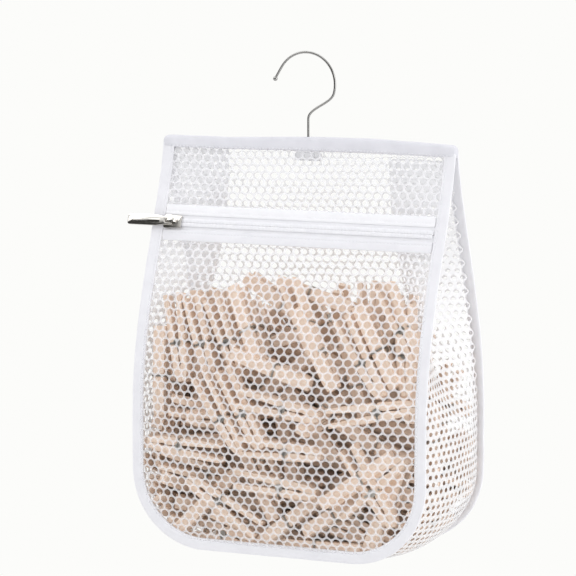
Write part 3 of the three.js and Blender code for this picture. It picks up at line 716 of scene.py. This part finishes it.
bm = sweep(hem_section, places_along(hem_points, Vector((0, 0, 1))), step=2 * hem_half / hem_steps)
for vert in bm.verts:
    vert.co = hem_shape(vert.co)
hem = make_piece("folded_hem", bm, hem_cloth_painted_shade)
round_off(hem)
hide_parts("top_hem")

# %% [markdown]
# Beside the zip the net is turned under, so its edge is a smooth double band with a thicker fold next to the
# chain and a line of stitches that holds it to the tape. The fold is a few points of section, run straight
# across the bag in the zip's own sloping plane.

# %% Turned edges beside the zip
zip_half = (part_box("zip_tape_upper")[1].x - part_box("zip_tape_upper")[0].x) / MM / 2
zip_up = Vector((0, math.sin(zip_tilt), math.cos(zip_tilt)))
zip_front = Vector((0, -math.cos(zip_tilt), math.sin(zip_tilt)))
fold_back = -0.45
fold_profile = [(0, 0.1), (0.35, 0.62), (1.2, 0.8), (2.4, 0.75), (3.0, 0.3), (3.6, 0.62), (5.5, 0.55),
                (8.2, 0.4), (turned_width + 0.2, 0)]
stitch_line = cloth_edge + 3.0
edge_steps = 120
ripple_length = 6
ripple_height = 9
ripple_reach = 0.18


def on_zip(x, up, front=0):
    """A point on the zip: along it, up the slope from its middle, and out of its plane."""
    return placed(x, -spread(-zip_depth) / 2, -zip_depth) + (zip_up * up + zip_front * front) * MM


def turned_edge(name, side, material):
    section = [(side * (cloth_edge + across), through) for across, through in fold_profile]
    section += [(side * (cloth_edge + across), fold_back) for across, through in reversed(fold_profile)]
    points = [on_zip(zip_half * (2 * i / edge_steps - 1), 0) for i in range(edge_steps + 1)]
    bm = sweep(section, places_along(points, zip_up), step=2 * zip_half / edge_steps)
    for vert in bm.verts:
        ripple = Vector((vert.co.x / (ripple_length * MM), 0, vert.co.z / (ripple_height * MM)))
        vert.co += zip_front * noise.noise(ripple) * ripple_reach * MM
    round_off(make_piece(name, bm, material))


# Both bands are the same folded net: the lower one takes the greyer binding tape's colours as painted shade,
# the upper one the whiter zip tape's.
turned_edge("turned_edge_upper", 1, zip_cloth)
turned_edge("turned_edge_lower", -1, binding_tape)

# %% [markdown]
# The seams are sewn with white polyester thread. On a lockstitch each stitch is a short, tight length of
# thread that dips into the cloth at both ends, so a small stretched ball reads well and costs only twenty
# faces. They follow the bindings, the foot of the hem and the zip's turned edges.

# %% Stitches
thread, tree, shader = new_material("spun_polyester_thread", Roughness=0.6, IOR=1.5)
shade_by(tree, shader, object_noise(tree, 0.8), "#E9E9EE", "#FAFAFC")
stitch_pitch = 3.0
stitch_length = 2.3
thread_radius = 0.32
first_stitch = 5
look_ahead = 0.5
spare_stitches = 4
zip_margin = 4
hem_margin = 6
hem_stitch_height = 1.7


def sew(name, rows):
    """Stitches at each placement of each row, lying along its X axis."""
    bm = bmesh.new()
    size = Matrix.Diagonal((stitch_length / 2 * MM, thread_radius * MM, thread_radius * MM, 1))
    for row in rows:
        for matrix in row:
            bmesh.ops.create_icosphere(bm, subdivisions=1, radius=1, matrix=matrix @ size)
    return make_piece(name, bm, thread)


def seam_row(side, across, through):
    """Placements of the stitches along one seam, at a place in the binding's section."""
    row = []
    for i in range(int(binding_run / stitch_pitch) - spare_stitches):
        x, z, out = seam_at(binding_start + first_stitch + stitch_pitch * i)
        ahead_x, ahead_z, _ = seam_at(binding_start + first_stitch + look_ahead + stitch_pitch * i)
        start = placed(x, side * spread(z) / 2, z)
        along = placed(ahead_x, side * spread(ahead_z) / 2, ahead_z) - start
        matrix = frame_matrix(start, along, Vector((out[0], 0, out[1])))
        row.append(matrix @ Matrix.Translation((0, across * MM, through * MM)))
    return row


def zip_row(up, front):
    """Placements of the stitches along the zip."""
    count = int(2 * (zip_half - zip_margin) / stitch_pitch)
    points = [on_zip(stitch_pitch * (i - count / 2), up, front) for i in range(count + 1)]
    return places_along(points, zip_up)


seam_edge = -binding_width / 2 + 1.9
binding_face = 0.78
turned_face = 0.42
sew("binding_stitches_front", [seam_row(-1, seam_edge, -binding_face)])
sew("binding_stitches_back", [seam_row(1, seam_edge, binding_face)])
sew("zip_stitches", [zip_row(side * stitch_line, turned_face) for side in (-1, 1)])
hem_rows = []
for side in (-1, 1):
    count = int(2 * (hem_half - hem_margin) / stitch_pitch)
    flat = [placed(stitch_pitch * (i - count / 2), side * hem_thickness / 2, hem_stitch_height - hem_height)
            for i in range(count + 1)]
    hem_rows.append(places_along([hem_shape(p) for p in flat], Vector((0, 0, 1))))
sew("hem_stitches", hem_rows)

# %% [markdown]
# The hook is one length of steel wire, cut, bent cold and rounded to a small ball at its tip. Its path is a
# straight stem, a bend out to a round crown, and a short leg back down. The same few bends as the solid's,
# taken in more steps, give a smooth wire.

# %% Material of the hook
polished_wire, tree, shader = new_material("polished_steel_wire", Metallic=1.0, Roughness=0.22,
                                           Base_Color=colour("#A9A8A6"))
roughen_by(tree, shader, object_noise(tree, 1.5), 0.16, 0.3)

# %% Hook
wire_radius = 1.0
hook_radius = 25.5
hook_offset = 2
hook_centre = 44.7
stem_height = 17
hook_start = math.radians(-16)
hook_end = math.radians(148)
tip = Vector((-29.5, 0, 48.3))
ball_radius = 1.9
head_top = -11.8
head_thickness = 1.5
head_radius = 2.15
bend_share = 0.34
bend_steps = 16
crown_steps = 48
tip_steps = 14
wire_sides = 14


def on_ring(angle):
    """A point of the hook's round crown."""
    x = hook_radius * math.cos(angle) - hook_offset
    return Vector((x, 0, hook_centre + hook_radius * math.sin(angle)))


def bezier(handles, count):
    """Points along a Bezier curve of any degree."""
    degree = len(handles) - 1
    points = []
    for i in range(1, count + 1):
        t = i / count
        weights = [math.comb(degree, k) * t ** k * (1 - t) ** (degree - k) for k in range(degree + 1)]
        points.append(sum((h * w for h, w in zip(handles, weights)), Vector()))
    return points


reach = hook_radius * bend_share
stem_top = Vector((0, 0, stem_height))
ring_start = on_ring(hook_start)
ring_end = on_ring(hook_end)
start_handle = ring_start + Vector((math.sin(hook_start), 0, -math.cos(hook_start))) * reach
end_handle = ring_end + Vector((-math.sin(hook_end), 0, math.cos(hook_end))) * reach
wire_path = [Vector((0, 0, z)) for z in (head_top - head_thickness, 0, stem_height / 2, stem_height)]
wire_path += bezier([stem_top, stem_top + Vector((0, 0, reach)), start_handle, ring_start], bend_steps)
wire_path += [on_ring(hook_start + (hook_end - hook_start) * i / crown_steps)
              for i in range(1, crown_steps + 1)]
wire_path += bezier([ring_end, end_handle, tip], tip_steps)
turns = [math.tau * i / wire_sides for i in range(wire_sides)]
wire_section = [(wire_radius * math.cos(turn), wire_radius * math.sin(turn)) for turn in turns]
bm = sweep(wire_section, places_along([placed(*p) for p in wire_path], Vector((0, 1, 0))))
bmesh.ops.create_uvsphere(bm, u_segments=20, v_segments=12, radius=ball_radius * MM,
                          matrix=Matrix.Translation(placed(*tip)))
bmesh.ops.create_cone(bm, cap_ends=True, segments=20, radius1=head_radius * MM, radius2=head_radius * MM,
                      depth=head_thickness * MM,
                      matrix=Matrix.Translation(placed(0, 0, head_top - head_thickness / 2)))
hook = make_piece("bent_wire_hook", bm, polished_wire, body="hook")
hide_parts("hook_wire")

# %% [markdown]
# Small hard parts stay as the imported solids, with the finish of the real ones: a white moulded bar in the
# hem, and a cast, nickel-plated slider and puller.

# %% Materials of the hard parts
white_plastic, tree, shader = new_material("moulded_white_plastic", Roughness=0.45, IOR=1.49)
shade_by(tree, shader, object_noise(tree, 8), "#DADADC", "#E6E6E8")

nodes["hanger_bar"].data.materials.clear()
nodes["hanger_bar"].data.materials.append(white_plastic)
bar_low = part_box("hanger_bar")[0]
cover_width = 13
cover_thickness = 0.6
cover_height = 5.4
cover_overlap = 0.05
cover_lift = 3.6
cover_corner = 2
bm = bmesh.new()
cover_size = Matrix.Diagonal((cover_width * MM, cover_thickness * MM, cover_height * MM, 1))
cover_front = (cover_thickness / 2 - cover_overlap) * MM
cover_middle = Vector((0, bar_low.y - cover_front, bar_low.z + cover_lift * MM))
bmesh.ops.create_cube(bm, size=1, matrix=Matrix.Translation(cover_middle) @ cover_size)
corners = [e for e in bm.edges if abs(e.verts[0].co.y - e.verts[1].co.y) > cover_thickness * MM / 2]
bmesh.ops.bevel(bm, geom=corners, offset=cover_corner * MM, offset_type="OFFSET", segments=5, profile=0.5,
                affect="EDGES", material=-1)
cover = make_piece("boss_cover", bm, white_plastic)
add_modifier(cover, "BEVEL", width=0.2 * MM, segments=2, limit_method="ANGLE", harden_normals=True)

nickel, tree, shader = new_material("nickel_plated_casting", Metallic=1.0, Roughness=0.15,
                                    Base_Color=colour("#DDDAD5"))
pits = object_noise(tree, 0.7)
roughen_by(tree, shader, pits, 0.08, 0.2)
raise_by(tree, shader, pits, 0.1, 0.05)

# %% [markdown]
# A casting has no sharp edges, and it is the rounded edges that catch the light. The slider and the puller
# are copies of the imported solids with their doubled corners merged, their flat triangles joined and a small
# bevel on every edge.


# %% Slider and puller
def softened(name, source, body, width):
    """A merged copy of a solid, with a bevel of that width, that replaces it."""
    bm = bmesh.new()
    bm.from_mesh(nodes[source].data)
    bmesh.ops.remove_doubles(bm, verts=bm.verts, dist=0.01 * MM)
    bmesh.ops.dissolve_limit(bm, angle_limit=math.radians(1), verts=bm.verts, edges=bm.edges)
    piece = make_piece(name, bm, nickel, body=body)
    add_modifier(piece, "BEVEL", width=width * MM, segments=3, limit_method="ANGLE",
                 angle_limit=math.radians(25), harden_normals=True)
    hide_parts(source)


softened("cast_slider", "slider_body", "slider", 0.35)
softened("cast_puller", "puller", "puller", 0.3)

# %% [markdown]
# A coil zip is one nylon thread wound into a spring and sewn to each tape. From the front only the round
# backs of its turns show, side by side, with a fine parting line where the two halves hook together. So
# each turn is one short bar with rounded edges, repeated along the chain.

# %% Zip tapes and coils
for name in ("zip_tape_upper", "zip_tape_lower"):
    nodes[name].data.materials.clear()
    nodes[name].data.materials.append(zip_cloth)
nylon, tree, shader = new_material("moulded_nylon_coil", Roughness=0.4, IOR=1.53)
shade_by(tree, shader, object_noise(tree, 5), "#F1F1F5", "#FAFAFC")
turn_pitch = 1.25
turn_width = 1.2
turn_inner = 0.04
turn_outer = 3.3
turn_back = -0.25
turn_front = 1.25
turn_rounding = 0.4
chain_margin = 1


def coil_half(name, side, replaced):
    """One half of the chain: a bevelled bar for each turn."""
    turn = bmesh.new()
    size = Matrix.Diagonal((
        turn_width * MM, (turn_outer - turn_inner) * MM, (turn_front - turn_back) * MM, 1))
    bmesh.ops.create_cube(turn, size=1, matrix=size)
    bmesh.ops.bevel(turn, geom=turn.edges[:], offset=turn_rounding * MM, offset_type="OFFSET", segments=2,
                    profile=0.5, affect="EDGES", material=-1)
    count = int(2 * (zip_half - chain_margin) / turn_pitch)
    places = []
    for i in range(count + 1):
        x = turn_pitch * (i - count / 2 + side / 4)
        middle = on_zip(x, side * (turn_inner + turn_outer) / 2, (turn_back + turn_front) / 2)
        places.append(frame_matrix(middle, Vector((1, 0, 0)), zip_up))
    piece = make_piece(name, joined(mesh_of("turn", turn), places), nylon)
    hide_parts(replaced)


coil_half("coil_turns_upper", 1, "zip_coil_upper")
coil_half("coil_turns_lower", -1, "zip_coil_lower")

# %% [markdown]
# The pegs are beech: two planed jaws held by a coiled steel spring. Sawn in long sticks and cut to length,
# they show a straight grain along the jaw. Each peg gets its own stretch of grain, because its place in a
# very long stick is noted on its corners.

# %% Materials of the pegs
beech, tree, shader = new_material("planed_beech", Roughness=0.62, IOR=1.5)
grain = add_node(tree, "ShaderNodeAttribute", attribute_name="grain")
long_way = add_node(tree, "ShaderNodeMapping", {"Vector": grain.outputs["Vector"], "Scale": (0.04, 0.9, 0.9)})
fibres = add_node(tree, "ShaderNodeTexNoise", {
    "Vector": long_way.outputs["Vector"], "Scale": 1.0, "Detail": 3})
shade_by(tree, shader, fibres, "#E7CCB6", "#F8E8D9", low=0.3, high=0.75)
raise_by(tree, shader, fibres, 0.2, 0.2)

spring_steel, tree, shader = new_material("galvanised_spring_wire", Metallic=1.0,
                                          Base_Color=colour("#B9B7B2"))
roughen_by(tree, shader, object_noise(tree, 1), 0.3, 0.5)

# %% One peg
peg_length = 72
peg_width = 10
peg_half = 7.6
peg_tip = 3.4
peg_gap = 0.3
spring_place = 4.3
spring_radius = 3.3
spring_wire = 0.9
leg_width = 1.4
leg_share = 0.9
grip_share = 0.87
jaw_outside = [(-0.5, 1.04), (0.03, 0.98), (0.04, 0.84), (0.08, 0.84), (0.09, 0.97), (0.38, 0.8)]
jaw_inside = [(0.34, 0), (0.3, 0.14), (0.2, 0.02), (0.0, 0.2), (-0.5, 0.52)]


def verts_of(geometry):
    return [g for g in geometry if isinstance(g, bmesh.types.BMVert)]


def build_peg():
    """A peg in millimetres: length along X, width along Y, and the handles on the left."""
    bm = bmesh.new()
    outline = [(x * peg_length, y * peg_half) for x, y in jaw_outside]
    outline += [(peg_length / 2, peg_tip), (peg_length / 2, peg_gap / 2)]
    outline += [(x * peg_length, peg_gap / 2 + y * peg_half) for x, y in jaw_inside]
    side = bm.faces.new([bm.verts.new((x, -peg_width / 2, z)) for x, z in outline])
    far_side = bmesh.ops.extrude_face_region(bm, geom=[side])["geom"]
    bmesh.ops.translate(bm, vec=(0, peg_width, 0), verts=verts_of(far_side))
    second = bmesh.ops.duplicate(bm, geom=bm.verts[:] + bm.edges[:] + bm.faces[:])["geom"]
    bmesh.ops.rotate(bm, matrix=Matrix.Rotation(math.pi, 3, "X"), verts=verts_of(second))
    wooden = len(bm.faces)
    turned = Matrix.Translation((spring_place, 0, 0)) @ Matrix.Rotation(math.pi / 2, 4, "X")
    bmesh.ops.create_cone(bm, cap_ends=True, segments=8, radius1=spring_radius, radius2=spring_radius,
                          depth=peg_width + 2 * spring_wire, matrix=turned)
    for up in (1, -1):
        leg_place = (spring_place, up * (peg_width + spring_wire) / 2, up * peg_half * leg_share / 2)
        leg = Matrix.Translation(leg_place)
        leg_size = Matrix.Diagonal((leg_width, spring_wire, peg_half * leg_share, 1))
        bmesh.ops.create_cube(bm, matrix=leg @ leg_size)
        grip = Matrix.Translation((spring_place, 0, up * peg_half * grip_share))
        grip_size = Matrix.Diagonal((leg_width, peg_width + 2 * spring_wire, spring_wire, 1))
        bmesh.ops.create_cube(bm, matrix=grip @ grip_size)
    bmesh.ops.recalc_face_normals(bm, faces=bm.faces)
    for i, face in enumerate(bm.faces):
        face.material_index = 0 if i < wooden else 1
    return mesh_of("peg", bm)


peg_mesh = build_peg()
print("a peg has", len(peg_mesh.polygons), "faces")

# %% [markdown]
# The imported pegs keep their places. The shape is the same either way round its long axis, so the long axis
# of its corners is the peg's own, and the wider end is the handles.


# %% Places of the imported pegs
end_zone = 10 * MM


def packed_place(node):
    """The placement of a packed peg, read from the corners of its solid."""
    points = np.array([v.co for v in node.data.vertices])
    axes = np.linalg.eigh(np.cov(points.T))[1][:, ::-1]
    local = points @ axes
    centre = axes @ ((local.min(0) + local.max(0)) / 2)
    ends = [np.ptp(local[local[:, 0] < local[:, 0].min() + end_zone], axis=0)[1],
            np.ptp(local[local[:, 0] > local[:, 0].max() - end_zone], axis=0)[1]]
    along = Vector(axes[:, 0]) * (1 if ends[0] > ends[1] else -1)
    upward = Vector(axes[:, 1])
    matrix = Matrix((along, upward.cross(along), upward)).transposed().to_4x4()
    return Matrix.Translation(Vector(centre)) @ matrix @ Matrix.Diagonal((MM, MM, MM, 1))


peg_nodes = sorted(name for name in nodes if name.startswith("peg_"))
peg_places = [packed_place(nodes[name]) for name in peg_nodes]
print("packed pegs:", len(peg_places))

# %% [markdown]
# The bag is full of pegs, and no rule says how a heap lies. So it is poured: pegs fall from above into a
# copy of the bag's walls, as rigid bodies, and come to rest in each other's gaps. The simulation runs at
# ten times the real size, because small bodies are handled badly, and starts the same way each time. Each
# peg falls as a plain wedge of twelve corners, which is quick to test for touching, and is slippery, so
# that none of them lock across the narrow mouth. Gravity leans a little to the left and to the front, so
# that the heap lies close against the walls that the camera sees.

# %% Walls for the falling pegs
sim_scale = 10
wall_inset = 1.5
pour_top = -105
funnel_height = 620
funnel_reach = 70
funnel_flare = 8
funnel_inset = 2
gusset_room = 25


def inner_wall():
    """The inside of the bag up to the pour's top, with a funnel above it, as one mesh."""
    bm = bmesh.new()

    def sheet(columns, rows, surface):
        grid = bmesh.ops.create_grid(bm, x_segments=columns, y_segments=rows, size=0.5)["verts"]
        for vert in grid:
            vert.co = surface(vert.co.x * 2, 0.5 - vert.co.y) * sim_scale

    def panel(side, crown):
        def surface(across, down):
            z = pour_top - down * (bag_height + pour_top)
            return panel_place(side, crown, across * half_width(z, 0), z, inward=wall_inset)
        return surface

    def funnel(side, is_end):
        def surface(across, down):
            z = pour_top + (1 - down) * funnel_height
            flared = min((1 - down) * funnel_flare, 1)
            out = spread(pour_top) / 2 + funnel_reach * flared
            inside = gusset_room * (1 - flared)
            if is_end:
                return placed(side * (bag_width / 2 - funnel_inset - inside), across * out, z)
            return placed(across * bag_width / 2, side * out, z)
        return surface

    sheet(20, 24, panel(-1, front_crown))
    sheet(20, 24, panel(1, back_crown))
    start = -pour_top
    sheet(16, 60, lambda across, along: gusset_surface(
        across * gusset_width / 2, -(start + along * (seam_length - 2 * start)) + hem_height))
    for side in (-1, 1):
        sheet(2, 16, funnel(side, False))
        sheet(4, 16, funnel(side, True))
    return mesh_of("inner_wall", bm)


# %% A plain wedge for each falling peg
handle_half = peg_half * 0.96
wedge_margin = 0.3


def peg_wedge():
    """The peg's outline from the side, as twelve corners, at the simulation's size."""
    bm = bmesh.new()
    for x, half in ((-peg_length / 2, peg_half), (spring_place, handle_half), (peg_length / 2, peg_tip)):
        for y in (-peg_width / 2 - wedge_margin, peg_width / 2 + wedge_margin):
            for z in (-half, half):
                bm.verts.new(Vector((x, y, z)) * MM * sim_scale)
    bmesh.ops.convex_hull(bm, input=bm.verts)
    return mesh_of("peg_wedge", bm)


# %% Pour the pegs
poured_pegs = 320
pour_frames = 120
peg_clearance = 0.2
pour_gravity = (-2.2, -1.2, -9.5)
pour_seed = 5
spawn_columns = 3
spawn_rows = 8
spawn_length = 76
spawn_step = 22
spawn_lift = 95
spawn_shift = 2
spawn_twist = 0.12


def add_body(name, mesh, matrix, kind, shape):
    """A rigid body for the simulation."""
    body = bpy.data.objects.new(name, mesh)
    body.matrix_world = matrix
    scene.collection.objects.link(body)
    bpy.ops.object.select_all(action="DESELECT")
    body.select_set(True)
    bpy.context.view_layer.objects.active = body
    bpy.ops.rigidbody.object_add(type=kind)
    body.rigid_body.collision_shape = shape
    body.rigid_body.friction = 0.1
    body.rigid_body.restitution = 0
    body.rigid_body.use_margin = True
    body.rigid_body.collision_margin = peg_clearance * MM * sim_scale
    return body


def pour(count, fixed):
    """Drop pegs into the bag round the fixed ones, and return where they come to rest."""
    rand = random.Random(pour_seed)
    enlarge = Matrix.Diagonal((sim_scale, sim_scale, sim_scale, 1))
    unscaled = Matrix.Diagonal((1 / MM / sim_scale,) * 3 + (1,))
    wedge = peg_wedge()
    scene.gravity = pour_gravity
    bpy.ops.rigidbody.world_add()
    solver = scene.rigidbody_world
    solver.substeps_per_frame = 8
    solver.solver_iterations = 10
    solver.point_cache.frame_end = pour_frames
    held = [add_body("inner_wall", inner_wall(), Matrix.Identity(4), "PASSIVE", "MESH")]
    held += [add_body("held_peg", wedge, enlarge @ m @ unscaled, "PASSIVE", "CONVEX_HULL") for m in fixed]
    falling = []
    for i in range(count):
        column = i % spawn_columns
        row = i // spawn_columns % spawn_rows
        layer = i // (spawn_columns * spawn_rows)
        x = (column - 1) * spawn_length + rand.uniform(-spawn_shift, spawn_shift)
        y = (row - (spawn_rows - 1) / 2) * spawn_step
        z = pour_top + spawn_lift + layer * spawn_step
        spin = Matrix.Rotation(rand.choice((0, math.pi)) + rand.uniform(-spawn_twist, spawn_twist), 4, "Z")
        roll = Matrix.Rotation(rand.uniform(0, math.tau), 4, "X")
        place = Matrix.Translation(placed(x, y, z) * sim_scale) @ spin @ roll
        falling.append(add_body("falling_peg", wedge, place, "ACTIVE", "CONVEX_HULL"))
    for frame_number in range(1, pour_frames + 1):
        scene.frame_set(frame_number)
    graph = bpy.context.evaluated_depsgraph_get()
    shrink = enlarge.inverted()
    scale_up = unscaled.inverted()
    rest = [shrink @ body.evaluated_get(graph).matrix_world @ scale_up for body in falling]
    for body in held + falling:
        bpy.data.objects.remove(body)
    bpy.ops.rigidbody.world_remove()
    scene.frame_set(1)
    return rest


# %% [markdown]
# The heap is cut along its top line as the camera sees it: a peg that lies further back looks higher and
# further to the left, so it is moved along the camera's two leans to the bag's front before it is compared.
#
# Falling pegs can't reach the top corners, where the gusset folds in, so a few are stood there one by one.
# The foremost pegs in the middle are the ones a viewer knows the bag by, and they are laid one by one as
# well.
# Poured pegs that would crowd any of these are left out.

# %% Top line of the heap
heap_line = [(-130, -123), (-109, -123), (-72, -128), (-28, -118),
             (17, -110), (69, -103), (104, -111), (122, -141)]
line_front = -50
side_lean = math.tan(camera_azimuth)
rise_lean = math.tan(camera_elevation) / math.cos(camera_azimuth)


def top_of_heap(x):
    """The height that the photograph's heap reaches at its front."""
    for (left, left_height), (right, right_height) in zip(heap_line, heap_line[1:]):
        if x <= right:
            return left_height + (right_height - left_height) * clamp((x - left) / (right - left))
    return heap_line[-1][1]


def inside_bag(matrix):
    """Whether a peg lies inside the bag, and no higher than the heap's top line as the camera sees it."""
    for end in (-0.5, 0, 0.5):
        point = matrix @ Vector((end * peg_length, 0, 0))
        x, y, z = point.x / MM, point.y / MM, (point.z - hem_top) / MM
        behind = y - line_front
        if z + behind * rise_lean > top_of_heap(x + behind * side_lean):
            return False
        if z < -bag_height - gusset_crown or abs(x) > half_width(z, -gusset_crown):
            return False
        if abs(y) > spread(z) / 2 + front_crown:
            return False
    return True


# %% Pegs set one by one
corner_pegs = [(-104, -126, 76, 0, 7), (-87, -127, 68, 0, 7), (-69, -127, 61, 0, 7),
               (-111, -152, 88, 90, 9), (-88, -124, 84, 90, 20), (-66, -122, 74, 0, 21),
               (-77, -123, 100, 90, 34), (-53, -121, 92, 90, 22), (100, -124, 82, 0, 9),
               (106, -145, 84, 0, 10), (60, -109, 84, 0, 22), (78, -110, 96, 90, 22), (94, -118, 88, 0, 24),
               (90, -138, 83, 90, 34), (84, -148, 78, 0, 46), (96, -165, 82, 90, 62), (103, -185, 88, 0, 78)]
front_pegs = [(-1, -110, 57, 0), (14, -131, 57, 90), (52, -136, 56, 0), (65, -126, 59, 90), (81, -110, 58, 0),
              (-45, -180, 59, 0), (-67, -187, 56, 0), (-29, -202, 9, 0), (48, -214, -10, 0),
              (-28, -241, 2, 0), (-34, -268, 6, 0), (42, -284, -36, 90), (54, -290, -40, 0),
              (64, -236, 60, 0), (-47, -116, 60, 90), (-36, -167, 17, 90)]
front_room = 9.5
hand_room = 18
hand_left = -75
hand_low = -285
crowding = 8.5
axis_parts = 6


def stood_up(x, z, lean, roll, inward, crown=0):
    """A peg against the front, from the place of its handles. Its lean is counted from lying to the right."""
    drop = Vector((math.cos(math.radians(lean)), -math.sin(math.radians(lean)))) * peg_length
    top = panel_place(-1, crown, x, z, inward=inward)
    foot = panel_place(-1, crown, x + drop.x, z + drop.y, inward=inward)
    matrix = frame_matrix((top + foot) / 2, foot - top, Vector((0, 1, 0)))
    return matrix @ Matrix.Rotation(math.radians(roll), 4, "X") @ Matrix.Diagonal((MM, MM, MM, 1))


def leaves_room(matrix):
    """Whether a poured peg leaves the foremost place in the middle to the listed pegs."""
    x, y, z = matrix.translation / MM
    z -= hem_top / MM
    in_front = y - panel_place(-1, front_crown, x, z).y / MM < hand_room
    return not in_front or x < hand_left or z < hand_low


def axis_points(matrix):
    """Points along a peg's axis, from the handles to the tip."""
    return [matrix @ Vector(((i / axis_parts - 0.5) * peg_length, 0, 0)) for i in range(axis_parts + 1)]


def crowded(matrix, others):
    """Whether a peg's axis comes too near to the axis of another one."""
    return any((a - b).length < crowding * MM
               for other in others for a in axis_points(matrix) for b in axis_points(other))


poured = pour(poured_pegs, peg_places)
stood = [stood_up(*values) for values in corner_pegs]
stood += [stood_up(*values, front_room, front_crown) for values in front_pegs]
kept = [m for m in poured if inside_bag(m) and leaves_room(m) and not crowded(m, stood)] + stood
print("poured", len(poured), "pegs, of which", len(kept), "lie in the bag")
peg_places += kept

# %% Heap of pegs
grain_step = Vector((100, 0, 37))
heap = make_piece("heap_of_pegs", joined(peg_mesh, peg_places), beech)
heap.data.materials.append(spring_steel)
for face in heap.data.polygons:
    face.use_smooth = False
stick = []
for i in range(len(peg_places)):
    for vert in peg_mesh.vertices:
        stick.extend(vert.co + grain_step * i)
heap.data.attributes.new("grain", "FLOAT_VECTOR", "POINT").data.foreach_set("vector", stick)
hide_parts(*peg_nodes)
